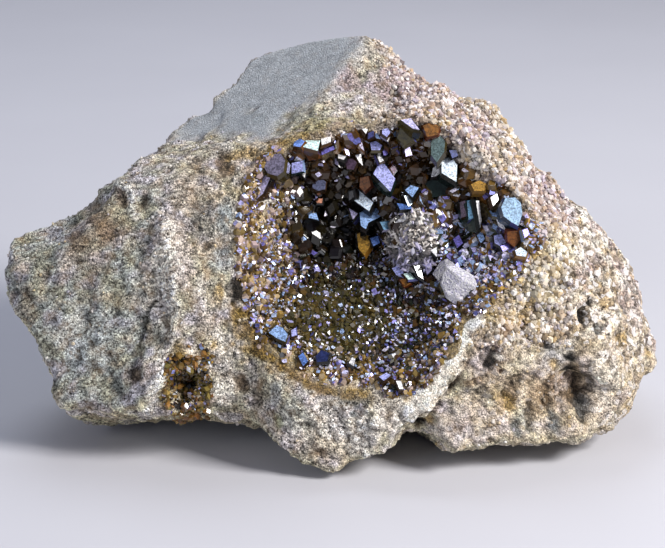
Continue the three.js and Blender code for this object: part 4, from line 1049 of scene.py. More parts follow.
def garnet_form(uneven, bevel=None, stretch=0.0):
    """A garnet one unit from its middle to each rhombic face, give or take `uneven`.

    `stretch` lengthens or shortens it at random along three directions."""
    normals, reach = DODECAHEDRON, 1 + uneven * shapes.uniform(-1, 1, 12)
    if bevel:
        normals = np.concatenate([normals, TRAPEZOHEDRON])
        reach = np.concatenate([reach, bevel + 0.5 * uneven * shapes.uniform(-1, 1, 24)])
    points, faces = crystal_form(normals, reach)
    return points * (1 + stretch * shapes.uniform(-1, 1, 3)), faces


SMALL_FORMS = [garnet_form(0.2, stretch=0.38) for _ in range(16)]
TINY_FORMS = [garnet_form(0.0, stretch=0.38) for _ in range(12)]
BEVELLED_FORMS = [garnet_form(0.13, 1.09, stretch=0.15) for _ in range(10)]
print("faces of a small garnet:", [len(f[1]) for f in SMALL_FORMS])
print("faces of a bevelled garnet:", [len(f[1]) for f in BEVELLED_FORMS])


# %% Many crystals as one set of arrays
class Crystals:
    """Corners and faces of many crystals, gathered before they become one mesh."""

    def __init__(self):
        self.points, self.corners, self.counts = [], [], []
        self.tints, self.gloss_and_glint = [], []
        self.used = 0

    def add(self, form, middles, turned, sizes):
        """Copies a form to every middle, turned and sized. Returns the faces' normals, per copy."""
        points, faces = form
        placed = np.einsum("nij,kj->nki", turned * sizes[:, None, None], points) + middles[:, None]
        outline = np.concatenate(faces)
        first = self.used + np.arange(len(middles)) * len(points)
        self.points.append(placed.reshape(-1, 3))
        self.corners.append((first[:, None] + outline).ravel())
        self.counts.append(np.tile([len(f) for f in faces], len(middles)))
        self.used += placed.shape[0] * placed.shape[1]
        a, b, c = (placed[:, [f[n] for f in faces]] for n in (0, 1, 2))
        return unit(np.cross(b - a, c - a))

    def colour(self, tints, gloss_and_glint):
        """One tint and one share of gloss and painted glint for every face of the copies just added."""
        self.tints.append(tints.reshape(-1, 3))
        self.gloss_and_glint.append(gloss_and_glint.ravel())

    def mesh(self, name):
        """All the copies as one mesh, with the tint and the share of gloss and painted glint stored on
        its faces.
        """
        arrays = [np.concatenate(part) for part in (self.points, self.corners, self.counts)]
        mesh = mesh_of(name, *arrays)
        mesh.shade_flat()
        paint(mesh, "tint", np.clip(np.concatenate(self.tints), 0, 1), "FACE")
        paint(mesh, "gloss_and_glint", np.concatenate(self.gloss_and_glint), "FACE")
        return mesh


def random_turns(random, count):
    """Evenly spread rotations: each from a random unit quaternion."""
    w, x, y, z = unit(random.normal(size=(count, 4))).T
    rows = [
        [1 - 2 * (y * y + z * z), 2 * (x * y - w * z), 2 * (x * z + w * y)],
        [2 * (x * y + w * z), 1 - 2 * (x * x + z * z), 2 * (y * z - w * x)],
        [2 * (x * z - w * y), 2 * (y * z + w * x), 1 - 2 * (x * x + y * y)],
    ]
    return np.array(rows).transpose(2, 0, 1)


def spread_out(points, gap, random):
    """Numbers of points that keep about `gap` apart: one point is kept from each small cube."""
    order = random.permutation(len(points))
    cube = np.floor(points[order] / gap + random.uniform(0, 1, 3)).astype(int)
    return order[np.unique(cube, axis=0, return_index=True)[1]]


print("a random turn:", np.round(random_turns(np.random.default_rng(5), 1)[0], 2).tolist())

# %% [markdown]
# ## The garnets that catch the eye
# The larger garnets have faces that a viewer remembers: a lavender one high in the middle, a bright
# block beside it, a round pearly one on the right. Each is given by the tint and outline of its best
# face, as read along the line of sight, and by how that face is turned. The bright tints are painted
# reflections of the light. They come first, because the small crystals leave them clear.

# %% The best faces
BEST_FACES = [  # tint, body, turn, tip, then the corners as (across, up)
    ("lavender", "teal", 8, 18, (5, 12.3), (5.6, 13.4), (6.4, 13.5), (7.7, 11.7), (7.1, 10.1)),
    ("ice", "black", -6, 34, (3.1, 10.4), (5, 8.8), (4.5, 7.7), (2.4, 9.2)),
    ("sky", "black", 2, 40, (3.3, 7.5), (4.8, 8.1), (7.2, 8.2), (5.8, 7), (4.4, 6.3), (4.1, 5.5),
        (3.5, 5.9)),
    ("lilac", "black", -20, 30, (2, 8.1), (3.1, 7.4), (2.5, 6.7)),
    ("grey", "black", -50, 10, (2, 10.1), (2.5, 10.3), (2.6, 9.4), (2, 9)),
    ("blue", "amber", -12, 40, (-4.7, 16.2), (-4, 16.6), (-3.4, 16.3), (-3.9, 15.6), (-4.8, 15.7)),
    ("ice_green", "amber", 4, 42, (-3.3, 16.4), (-1.5, 16.4), (-1.8, 15.1), (-3.6, 15.6)),
    ("white", "brown", 14, 44, (-1.4, 16.6), (-0.2, 16.9), (-0.2, 16.2), (-1.3, 15.8)),
    ("violet", "black", 10, -20, (-1.4, 15.1), (0.1, 15.7), (0.3, 15.3), (-1.3, 14.6)),
    ("lavender", "teal", 0, 14, (-5, 13.6), (-3.7, 13.9), (-3.6, 12.6), (-5, 12.3)),
    ("white", "black", 10, 30, (-4.1, 12.5), (-3.3, 12.4), (-3.4, 11.8)),
    ("mist", "olive", -18, 20, (-8.5, 13.3), (-7.7, 14.6), (-6.4, 14.8), (-5.8, 14), (-6, 12.6),
        (-6.8, 12), (-8, 12.4)),
    ("lilac", "brown", -22, 20, (-8, 12.5), (-7.5, 12.1), (-8.5, 9.9), (-9.3, 9.2), (-9.4, 10.3)),
    ("slate", "brown", 0, 20, (-2.4, 11.5), (-1.5, 11.8), (-0.8, 11.3), (-0.9, 10.4), (-1.8, 10.2),
        (-2.5, 10.6)),
    ("salmon", "black", 0, 30, (-2.1, 9.2), (-1.2, 9.3), (-1.3, 8.7), (-1.9, 8.7)),
    ("sky", "black", 5, 30, (-2.9, 7.4), (-2, 7.5), (-1.7, 6.6), (-2.9, 6.9)),
    ("ice", "black", 0, 30, (-2, 3.9), (-1.4, 4.4), (-1.4, 3.9), (-1.9, 3.6)),
    ("violet", "black", 0, 40, (-2.8, 3.1), (-1.8, 2.6), (-2.3, 2.3), (-2.9, 2.7)),
    ("blue", "black", 10, 20, (4.6, 4.4), (5.6, 4.7), (5.8, 3.8), (5, 3.4)),
    ("steel", "black", 15, 25, (5.8, 6.4), (7.1, 6.5), (7.3, 5.6), (6.3, 5.4)),
    ("white", "brown", 20, 40, (3.6, 17.8), (4.4, 17.9), (4.1, 17.2)),
    ("white", "brown", -10, 40, (6.3, 16.7), (7.1, 16.8), (6.8, 16.2)),
    ("white", "brown", 10, 20, (5.3, 14.8), (5.8, 14.8), (6.3, 13.9), (5.8, 13.7)),
    ("white", "brown", 12, 10, (2.8, 14.6), (3.5, 14.7), (3.7, 13.3), (3.3, 13.7)),
    ("white", "black", -8, 42, (0.7, 14.7), (1.7, 14.5), (1.4, 14), (0.7, 14.2)),
    ("lilac", "black", -40, 10, (0.3, 14.2), (0.7, 14.1), (0.7, 13.3), (0.3, 13.5)),
    ("lilac", "amber", 20, 10, (1.4, 15.5), (2, 15.2), (2.1, 14.5), (1.7, 14.7)),
    ("plum", "brown", -10, 10, (1.5, 13.9), (2.4, 14.2), (3, 13.7), (2.6, 12.8), (1.8, 12.9)),
    ("lavender", "brown", 12, 30, (6.1, 17.7), (6.8, 17.9), (7.1, 17.4), (6.7, 16.8), (6.1, 17.2)),
    ("lavender", "olive", 0, 30, (4.6, 16.1), (5.3, 16.3), (6.1, 15.8), (5.8, 15.2), (4.8, 15.2)),
    ("violet", "black", 18, 20, (6.1, 15.2), (6.6, 15.3), (6.8, 14.7), (6.3, 14.5)),
    ("mist", "amber", 30, 20, (3, 16.4), (3.6, 16.2), (3.9, 15.1), (3.4, 15.5)),
    ("lilac", "olive", 6, 46, (8.4, 18.9), (9.6, 19.1), (10.7, 17.7), (9.9, 17.8)),
    ("sky", "olive", 16, 26, (9.6, 17.5), (10.6, 17.7), (10.6, 16.7), (9.9, 16.4)),
    ("lilac", "brown", 14, 10, (8.7, 16.2), (9.3, 16.2), (9.8, 14.6), (9, 14.4)),
    ("amber", "rust", 8, 18, (11.1, 18.2), (12.3, 18.7), (13.2, 18), (12.9, 17.1), (11.6, 16.8)),
    ("mist_green", "olive", -10, 22, (12.1, 16.3), (13.1, 17.1), (13.8, 16.3), (13.7, 15),
        (12.8, 13.7), (12.1, 14.6)),
    ("navy", "black", 12, 14, (14.3, 15.2), (15.2, 15.2), (15.4, 14.5), (14.7, 14.2)),
    ("white", "black", -28, 30, (12.1, 11.9), (12.3, 13), (13.3, 13.6), (13.4, 12.5), (12.7, 12)),
    ("ice", "teal", 8, 24, (13.4, 14), (14.5, 14.4), (15.3, 13.4), (15.2, 11.3), (13.4, 12.4)),
    ("amber", "ochre", 20, 20, (16, 15.2), (16.6, 16), (17.5, 15.2), (17.4, 13.7), (16.6, 13)),
    ("ochre", "ochre", 10, 30, (17, 11), (18, 11.5), (19.1, 11), (18.6, 10.2), (17.4, 10.2)),
    ("sky", "black", -6, 36, (8.9, 10.3), (9.6, 10.9), (10.6, 10.6), (9.8, 9.4)),
    ("ice", "black", 20, 20, (8.8, 9.6), (9.3, 9.6), (9.8, 8.6), (9.3, 8.3)),
    ("blue", "black", 0, 44, (7.9, 8.7), (9.5, 8.5), (9.8, 8), (8.3, 7.9)),
    ("plum", "brown", -24, 10, (15.6, 8.8), (16.5, 9.1), (16.5, 7.1), (15.8, 6.9)),
    ("steel", "teal", 4, 12, (16.5, 9), (17.6, 9.1), (17.6, 7), (16.7, 6.6)),
    ("white", "teal", 44, 10, (17.6, 9), (18, 9), (18.3, 6.5), (18.1, 5.6)),
    ("white", "brown", 20, 24, (19.4, 9.4), (20.2, 9.9), (20.4, 9.1), (19.7, 8.3)),
    ("sky", "olive", -8, 40, (19, 8.1), (19.7, 7.5), (20.7, 7.7), (20.4, 7), (19.6, 7.1)),
    ("sky_pearl", "slate", 10, 20, (20.7, 8.2), (21.2, 9.3), (22.4, 9.4), (23.1, 8.7), (23.3, 7.4),
        (22.8, 5.9), (21.9, 6.4), (21, 7.1)),
    ("white", "black", -30, 26, (20.1, 6.7), (20.6, 6.9), (21.3, 5.3), (20.4, 5.8)),
    ("rust", "rust", 12, 0, (21.4, 5.2), (22.8, 5.3), (23.1, 4.2), (22.3, 3.3), (21.5, 4)),
    ("violet", "olive", 24, 20, (23.3, 5.4), (23.9, 5.6), (24.2, 4.9), (23.6, 4.4)),
    ("lavender", "black", 4, 32, (19.8, 4.7), (20.7, 4.9), (21.3, 3.8), (20.6, 3.4), (19.9, 3.8)),
    ("violet", "black", 14, 14, (20.6, 3.4), (21.5, 3.8), (21.8, 3.2), (20.9, 2.8)),
    ("sky", "brown", -6, 34, (17.7, 4.7), (18.3, 5.3), (18.7, 4.3), (18.2, 3.8)),
    ("ice", "ochre", 8, 36, (22.4, 2.9), (23.1, 3.3), (23.9, 2.7), (23.7, 2.1), (22.6, 2.3)),
    ("violet", "black", -6, 24, (14.8, 4.3), (15.5, 4.8), (16, 3.8), (15.3, 3.2)),
    ("white", "black", 10, 34, (12, 2.9), (12.8, 3.3), (12.8, 2.1)),
    ("lavender", "olive", -10, 40, (7.3, 0.7), (7.9, 1), (9, -0.1), (8.7, -0.5), (7.8, -0.1)),
    ("ice_green", "brown", 6, 40, (8.7, 0), (9.5, 0.2), (10.2, -0.6), (9.3, -0.7)),
    ("white", "black", 24, 20, (10, 1), (10.7, 1.1), (11.2, -0.7), (10.5, -0.2)),
    ("lilac", "black", -10, 24, (11.3, 1.1), (12.1, 1.5), (12.2, 0.5), (11.6, -0.1)),
    ("sky", "olive", -4, 28, (-7.8, -7.2), (-6.9, -6.3), (-6.1, -6.6), (-5.5, -7.4), (-5.8, -8.3),
        (-6.8, -7.9)),
    ("lavender", "brown", 10, 20, (-5.1, -6.9), (-4.5, -6.6), (-4.4, -7.5), (-5, -7.7)),
    ("blue", "brown", 0, 24, (-4.2, -10.1), (-3.6, -9.6), (-3, -10.7), (-3.6, -11.3)),
    ("navy", "black", -6, 30, (-2.1, -10.1), (-1.4, -9.3), (-0.4, -9.7), (-0.6, -10.7), (-1.9, -10.8)),
    ("white", "black", 0, 34, (2, -10.9), (2.4, -10.2), (2.8, -10.4), (2.6, -11.3)),
    ("white", "brown", 10, 30, (7.8, -13.1), (8.4, -13.1), (8.7, -14.1), (8.2, -14.1)),
    ("lavender", "brown", -4, 40, (5.7, -12.6), (6.6, -12.1), (7.2, -12.4), (6.3, -13.1)),
    ("plum", "rust", 30, 10, (7.1, 13), (7.5, 13.6), (7.9, 12.8), (7.5, 12.3)),
    ("rust", "rust", -12, 2, (3.4, 11.8), (4.4, 12), (4.7, 10.8), (3.9, 10.1), (3.3, 10.7)),
    ("rust", "brown", 0, -8, (-3.5, 15), (-1.8, 15.1), (-1.4, 14.2), (-2.9, 13.9)),
    ("teal", "black", -4, 2, (11.3, 11.3), (12.8, 11.7), (14.4, 10.9), (14, 9.6), (12.2, 9.4)),
    ("olive", "olive", -16, 6, (8.3, 17.9), (9.5, 18), (10, 16.4), (8.8, 15.7), (7.9, 16.7)),
    ("amber", "rust", 0, -4, (8.3, -0.7), (9.3, -0.5), (9.6, -1.2), (8.8, -1.6)),
    ("gold", "deep_gold", -8, 14, (3, 4.9), (3.4, 5.1), (4.4, 4.7), (4.6, 3.4), (3.9, 2.3), (3.2, 3.1)),
]


def middle_and_reach(row):
    """Where a listed face has its middle, and how far its corners lie from there."""
    corners = np.array(row[4:], float)
    middle = corners.mean(axis=0)
    return [*middle, np.linalg.norm(corners - middle, axis=1).mean()]


best_places = np.array([middle_and_reach(row) for row in BEST_FACES])
print("best faces:", len(BEST_FACES))

# %% [markdown]
# ## The colours of garnet faces
# The crystals are dark: brown, olive and nearly black, with a redder or more golden one here and
# there, and yellow-brown near the rim where they are small. What makes the hollow glitter is painted
# reflection: single faces are painted far brighter than their crystal. They lie square to the light,
# and their painted glints are lavender, pale blue or white. Every face gets its own tint and its own
# share of gloss, which also marks a painted glint.

# %% Tints of garnet
BODY_TINTS = np.array([
    (0.006, 0.005, 0.004), (0.020, 0.013, 0.005), (0.034, 0.027, 0.007), (0.045, 0.020, 0.006),
    (0.012, 0.016, 0.009), (0.060, 0.030, 0.007), (0.014, 0.010, 0.013), (0.048, 0.036, 0.010),
])
RIM_TINTS = np.array([
    (0.10, 0.060, 0.014), (0.17, 0.105, 0.025), (0.06, 0.035, 0.010), (0.26, 0.19, 0.10),
    (0.13, 0.09, 0.028), (0.30, 0.23, 0.19), (0.04, 0.022, 0.008), (0.20, 0.15, 0.15),
])
GLINT_TINTS = np.array([
    (0.92, 0.92, 0.97), (0.46, 0.44, 0.78), (0.62, 0.60, 0.86), (0.22, 0.20, 0.56),
    (0.36, 0.50, 0.80), (0.74, 0.70, 0.84), (0.11, 0.12, 0.36), (0.52, 0.62, 0.86),
])
# faces nearest this direction, half way between the eye and the key lamp, get a painted glint most often
GLINT_WAY = aimed(6, 28)  # the faces nearest this direction glint most


def tint_faces(random, normals, bodies, shine, brightness=1.0):
    """Tints and glint marks: each face near its body's tint, and some faces nearest the light painted
    bright, as a glint.
    """
    count, faces = normals.shape[:2]
    tints = bodies[:, None] * random.uniform(0.55, 1.7, (count, faces, 1))
    square = ramp(normals @ GLINT_WAY, 0.62, 0.96)
    # painted reflection: the chosen faces get a bright glint tint in place of their body's tint
    glint = random.uniform(0, 1, (count, faces)) < shine[:, None] * (0.06 + 0.94 * square)
    chosen = GLINT_TINTS[random.integers(0, len(GLINT_TINTS), (count, faces))]
    chosen = chosen * random.uniform(0.55, 1.0, (count, faces, 1)) * brightness
    return np.where(glint[..., None], chosen, tints), glint * 1.0


def add_garnets(crystals, random, forms, middles, turned, sizes, bodies, shine, brightness=1.0):
    """Adds one garnet at each middle, of a form drawn at random, and tints its faces."""
    kind = random.integers(0, len(forms), len(middles))
    for number, form in enumerate(forms):
        mine = kind == number
        normals = crystals.add(form, middles[mine], turned[mine], sizes[mine])
        tinted_faces = tint_faces(random, normals, bodies[mine], shine[mine], brightness)
        crystals.colour(*tinted_faces)


print("direction of the brightest faces:", np.round(GLINT_WAY, 2))

# %% [markdown]
# ## What grows where in the hollow
# The hollow isn't the same all over. Coarse crystals fill its upper part, and fine ones its floor
# and its left side. Its garnets get painted light on the right and painted shade in the middle, in
# the upper part and deeper in; they are olive on its floor and amber at the top. Each of these is a
# share for every point of the skin, and together they set how big the garnets are, what colour they
# have and how readily their faces get a painted glint.

# %% Shares over the skin
skin_points = skin.reshape(-1, 3)
skin_out = unit(skin_normal.reshape(-1, 3))
skin_across, skin_up, skin_back = read_off(skin_points)
skin_steps = skin_step.ravel()


def dome(middle_across, middle_up, half_width, half_height):
    """1 in the middle of an oval of the skin, as seen, falling smoothly to 0 at its edge."""
    over = (skin_up - middle_up) / half_height
    reach = np.hypot((skin_across - middle_across) / half_width, over)
    return 1 - ramp(reach, 0.5, 1.1)


upper = ramp(skin_up + 1.2 * lumps(skin_points, 4.0, 81) - 0.25 * skin_across, 1.8, 4.4)
upper *= ramp(skin_across + lumps(skin_points, 3.0, 82), -4.8, -2.2)
# shares of painted shade deeper in and in the middle of the hollow, and of painted light on its right
shade_depth = ramp(skin_back, 6.0, 13.0)
lit_right = dome(17.5, 5.0, 8.0, 6.5)
shaded_middle = np.maximum(dome(-1.0, 5.8, 5.4, 5.8), 0.55 * dome(-1.8, 11.8, 4.0, 3.6))
olive_floor = dome(0.5, -5.6, 8.0, 5.6)
top_warmth = ramp(skin_up + 1.6 * lumps(skin_points, 1.6, 86), 11.5, 15.5)

bare_margin = 0.05 * dome(-5.0, -10.0, 6.0, 3.6) + 0.06 * dome(16.0, -9.0, 4.0, 6.0)
bare_margin += 0.02 * lumps(skin_points, 1.0, 85) - 0.035 * dome(-10.5, 2.0, 4.0, 8.0)
no_crystal_rim = 1 - ramp(skin_steps + bare_margin, 0.95, 1.01)
no_crystal_rim *= 1 - ramp(skin_back, 15, 17)  # none where the skin runs inside the rock
shine = 0.52 - 0.12 * upper  # the share of the faces square to the light that come out bright
shine -= 0.34 * olive_floor
shine += 1.0 * lit_right + 0.25 * dome(9.5, -0.5, 4.0, 2.0) + 0.20 * top_warmth
shine *= (1 - 0.7 * shade_depth) * (1 - 0.8 * shaded_middle)
print("how readily faces shine:", np.round([shine.min(), shine.max()], 2))

# %% [markdown]
# ## The druse
# Thousands of small garnets pave the hollow. Their middles are random places on the skin, and only
# one is kept in each small cube of space, so they stand about evenly apart. Four sweeps are laid,
# each finer than the one before. They all leave the garnets placed one by one clear and end at the
# rim, where they are pale and yellow-brown.

# %% Random places on a grid
def places_on(grid, weight, count, random):
    """Random points on a grid's faces, as likely in one square millimetre as in any other."""
    rows, columns = grid.shape[:2]
    tall = np.linalg.norm(np.gradient(grid, axis=0), axis=2)
    wide = np.linalg.norm(np.roll(grid, -1, axis=1) - np.roll(grid, 1, axis=1), axis=2) / 2
    share = (tall * wide).ravel() * weight
    picked = random.choice(len(share), size=count, p=share / share.sum())
    row, column = np.divmod(picked, columns)
    flat = grid.reshape(-1, 3)
    beside = flat[row * columns + (column + 1) % columns] - flat[picked]
    below = flat[np.minimum(row + 1, rows - 1) * columns + column] - flat[picked]
    t = random.uniform(0, 1, (2, count, 1))
    return picked, flat[picked] + t[0] * beside + t[1] * below


def spaced_places(grid, weight, count, gap, random):
    """Random points on a grid, thinned out so that they stand about `gap` apart."""
    picked, at = places_on(grid, weight, count, random)
    chosen = spread_out(at, gap, random)
    return picked[chosen], at[chosen]


print("corners to pick from on the skin:", len(skin_points))

# %% Lay the sweeps
PLACES = 45000  # random places tried in a sweep whose garnets stand 1 mm apart
AMBER_BODY = np.array([0.105, 0.045, 0.008])
OLIVE_BODY = np.array([0.050, 0.040, 0.010])
CLEAR_OF_FACE = 0.95  # a sown garnet stays this share of a best face's reach from its middle
CLEAR_OF_SELF = 0.55  # and this share of its own size more
PROUD_SHARE = 0.15  # a garnet's middle stands out of the skin by this share of its size
sowing = np.random.default_rng(11)

amber_share = 0.8 * top_warmth + 0.3 * upper * (1 - top_warmth) * (1 - shaded_middle)
# painted light and shade: garnet bodies darker deeper in, in the upper part and in the shaded middle, and
# brighter on the lit right
shade = (1 - 0.65 * shade_depth) * (1.25 - 0.4 * upper) * (1 + 1.4 * lit_right - 0.75 * shaded_middle)


def sow(crystals, gap, radius, keep, glint, forms):
    """Lays one sweep of small garnets about `gap` apart, where `keep` allows them."""
    picked, at = spaced_places(skin, keep, int(PLACES / gap), gap, sowing)
    sizes = radius[picked] * sowing.uniform(0.7, 1.3, len(picked))
    seen = np.column_stack(read_off(at)[:2])
    apart = np.linalg.norm(seen[:, None] - best_places[None, :, :2], axis=2)
    clearance = CLEAR_OF_FACE * best_places[:, 2] + CLEAR_OF_SELF * sizes[:, None]
    clear = (apart > clearance).all(axis=1)
    picked, at, sizes = picked[clear], at[clear], sizes[clear]
    middles = at + skin_out[picked] * (PROUD_SHARE * sizes)[:, None]
    turned = random_turns(sowing, len(picked))
    near_rim = ramp(skin_steps[picked] + 0.05 * lumps(at, 1.5, 83), 0.80, 1.0)
    left_side = (1 - ramp(skin_across[picked], -8, -3)) * ramp(skin_up[picked], -6, 0)
    pale_share = np.maximum(near_rim * (1 - 0.85 * upper[picked]), 0.7 * left_side)
    pale = pale_share > sowing.uniform(0.1, 1, len(picked))
    bodies = np.where(
        pale[:, None],
        RIM_TINTS[sowing.integers(0, len(RIM_TINTS), len(picked))],
        BODY_TINTS[sowing.integers(0, len(BODY_TINTS), len(picked))],
    )
    bodies = bodies + (AMBER_BODY - bodies) * amber_share[picked, None]
    bodies = bodies + (OLIVE_BODY - bodies) * (0.65 * olive_floor)[picked, None]
    # the painted light and shade of the hollow, on each garnet's body
    bodies = bodies * shade[picked, None]
    add_garnets(crystals, sowing, forms, middles, turned, sizes, bodies, glint[picked])
    return len(picked)


druse, fine_druse = Crystals(), Crystals()
inner = no_crystal_rim * upper * (1 - ramp(skin_steps, 0.90, 0.99))
wide = no_crystal_rim * (1 - 0.4 * upper)
same = np.ones(skin_steps.shape)
small_radius = 0.34 + 0.10 * upper + 0.13 * lit_right
laid = [
    sow(druse, 2.3, 0.9 * same, inner * (1 - 0.7 * lit_right), 0.6 * shine, BEVELLED_FORMS),
    sow(druse, 1.4, 0.56 * same, inner, shine, SMALL_FORMS),
    sow(druse, 0.86, small_radius, wide, shine, SMALL_FORMS),
    sow(fine_druse, 0.53, 0.22 * same, wide, shine, TINY_FORMS),
]
print("small garnets laid in each sweep:", laid)

# %% [markdown]
# ## The left margin
# On the left the hollow has no sharp rim: small garnets with the rim's pale tints thin out over the
# rock beside it. They stand on the stone's own surface, inside two ovals, in a coarser sweep and a
# finer one.

# %% Garnets that spill over the left margin
MARGIN_SWEEPS = ((0.75, 0.34), (0.5, 0.22))  # gap and size of the garnets in each, millimetres
MARGIN_PLACES = 2600  # random places tried in each
MARGIN_SHINE = 0.45
stone_grid = stone_points.reshape(ROWS, COLUMNS, 3)
spill = np.random.default_rng(17)
margin = np.maximum(oval(-9.5, 3.4, 1.8, 7.8, 0), oval(-7.6, 12.0, 2.0, 3.0, -20)) ** 0.7
margin *= 1 - oval(-11.2, -2.0, 2.2, 3.0, 0)  # a dark hole stays bare
spilled = []
for gap, radius in MARGIN_SWEEPS:
    _, at = spaced_places(stone_grid, margin, MARGIN_PLACES, gap, spill)
    turned = random_turns(spill, len(at))
    sizes = radius * spill.uniform(0.6, 1.3, len(at))
    bodies = RIM_TINTS[spill.integers(0, len(RIM_TINTS), len(at))] * 1.25
    chance = np.full(len(at), MARGIN_SHINE)
    add_garnets(druse, spill, TINY_FORMS, at, turned, sizes, bodies, chance)
    spilled.append(len(at))
print("garnets over the margin in each sweep:", spilled)

# %% [markdown]
# ## The garnets' finish
# Garnet bends light strongly, so it shines like glass even where it is nearly black. Its colour is
# the tint painted on each face, a little clouded; on bright faces that tint is a painted reflection.
# Bright faces are a little metallic, which keeps their colour in what they mirror. On the skin
# between the crystals, cells stand in for faces.

# %% Garnet
def garnet():
    """Dark glassy crystal. Each face's own tint is clouded a little, and faces with a painted glint are
    mottled.
    """
    glass = Finish("garnet", IOR=1.89, Specular_IOR_Level=0.24)
    tint = glass.attribute("tint", "Color")
    gloss_and_glint = glass.attribute("gloss_and_glint")
    cloud = glass.noise(0.35, 3.0)
    fleck = glass.red(glass.cells(0.16, "Color"))
    # faces with a painted glint are flecked, as a mottled painted reflection
    clouded = glass.shaded(tint, 0.6 + cloud * 0.8 + gloss_and_glint * (fleck - 0.5) * 1.1)
    glass.set("Base Color", clouded)
    glass.set("Roughness", 0.10 + gloss_and_glint * 0.16 + cloud * 0.10)
    glass.set("Metallic", gloss_and_glint * 0.35)
    glass.bump(glass.noise(0.12, 2.0), 0.12, 0.05)
    return glass.material


def dark_skin():
    """The druse too fine to model: nearly black between the crystals and ochre at the rim."""
    base = Finish("fine_garnet", IOR=1.8)
    rim_here = base.attribute("rim")
    grain = base.red(base.cells(0.28, "Color"))
    dark = base.mixed(grain, (0.004, 0.003, 0.002, 1), (0.045, 0.032, 0.010, 1))
    pale = base.mixed(grain, (0.06, 0.04, 0.012, 1), (0.34, 0.24, 0.09, 1))
    base.set("Base Color", base.mixed(rim_here, dark, pale))
    base.set("Roughness", 0.35 + grain * 0.3)
    base.bump(base.cells(0.28, "Distance"), 0.9, 0.15)
    return base.material


garnet_finish = garnet()
shell_points = np.concatenate([shell.reshape(-1, 3), shell_poles])
skin_mesh = mesh_of("garnet_skin", shell_points, *globe_faces(2 * SKIN_ROWS, SKIN_COLUMNS))
rim_tone = ramp(skin_steps + 0.03 * lumps(skin_points, 1.2, 84) + bare_margin, 0.84, 0.97)
paint(skin_mesh, "rim", np.concatenate([rim_tone, np.ones(len(rim_tone) + 2)]), "POINT")
skin_mesh.shade_smooth()
piece_of(skin_mesh, dark_skin(), ["garnet_crust"])
piece_of(druse.mesh("garnet_druse"), garnet_finish, ["garnet_crust"])
piece_of(fine_druse.mesh("fine_garnet_druse"), garnet_finish, ["garnet_crust"])

# %% [markdown]
# ## A crystal behind each best face
# The rest of a large crystal grows behind its best face: the outline widens to a girdle and narrows
# again into the crust. Every ring is the same outline, scaled and shifted, so all its faces are
# flat. The best face keeps its own tint, mostly a painted reflection, and nearly all the others are
# dark; a few carry a dimmer painted glint.

# %% Tints of the best faces, and of the bodies behind them
# Most of these tints, the lavender, ice, sky, white, lilac, blue and violet ones, are painted reflections
# of the light on a best face; the dark ones, such as amber, rust, olive and teal, are the garnet's own
# colour.
FACE_TINTS = {
    "lavender": (0.36, 0.38, 0.72), "ice": (0.72, 0.84, 0.96), "sky": (0.30, 0.46, 0.78),
    "lilac": (0.50, 0.46, 0.70), "blue": (0.11, 0.21, 0.54), "ice_green": (0.55, 0.72, 0.68),
    "white": (0.95, 0.95, 0.97), "violet": (0.15, 0.13, 0.45), "mist": (0.21, 0.19, 0.27),
    "slate": (0.09, 0.10, 0.17), "salmon": (0.60, 0.27, 0.17), "steel": (0.09, 0.20, 0.31),
    "plum": (0.07, 0.04, 0.07), "amber": (0.17, 0.07, 0.012), "rust": (0.12, 0.040, 0.008),
    "navy": (0.02, 0.03, 0.11), "sky_pearl": (0.18, 0.28, 0.40), "mist_green": (0.13, 0.19, 0.19),
    "ochre": (0.34, 0.19, 0.035), "teal": (0.008, 0.018, 0.016), "olive": (0.036, 0.028, 0.008),
    "grey": (0.22, 0.22, 0.23), "gold": (0.44, 0.24, 0.035),
}
BODY_COLOURS = {
    "teal": (0.006, 0.013, 0.012), "black": (0.004, 0.004, 0.004), "amber": (0.050, 0.020, 0.004),
    "brown": (0.020, 0.010, 0.004), "olive": (0.024, 0.018, 0.005), "ochre": (0.085, 0.045, 0.010),
    "rust": (0.050, 0.012, 0.004), "slate": (0.03, 0.045, 0.07), "deep_gold": (0.14, 0.065, 0.010),
}
print("tints of best faces:", len(FACE_TINTS), "and of bodies:", len(BODY_COLOURS))

# %% Grow a crystal behind each face
GIRDLE = 0.30  # a girdle stands out about this far round its best face, millimetres
LARGE_PROUD = 0.5  # a best face stands this far before the skin, and its own size more
SIZE_MARGIN = 0.12  # what a crystal is larger than its best face, millimetres
GIRDLE_BEHIND, SHOULDER_BEHIND, FOOT_BEHIND = 0.42, 1.35, 2.3  # in sizes of the crystal
SHOULDER_WIDTH = 0.85  # as a share of the girdle's
FOOT_WIDTH = 0.4  # as a share of the best face's
RING_SHIFT = 0.12  # a ring lies off its place by up to this many sizes
GLINTING_SIDES = 0.07  # the share of the other faces that shine too
growing = np.random.default_rng(23)


def seat_depth(across_at, up_at):
    """How far back the skin lies at one sight reading, taken from its nearest corner."""
    behind = 0.02 * skin_back  # of two corners equally near, the one in front counts
    return skin_back[np.argmin(np.hypot(skin_across - across_at, skin_up - up_at) + behind)]


def on_plane(corners, middle, normal):
    """Where the lines of sight through the corners meet the plane through `middle`."""
    ways = sighted(*corners.T, np.zeros(len(corners))) - EYE
    reach = ((middle - EYE) @ normal) / (ways @ normal)
    return EYE + ways * reach[:, None]


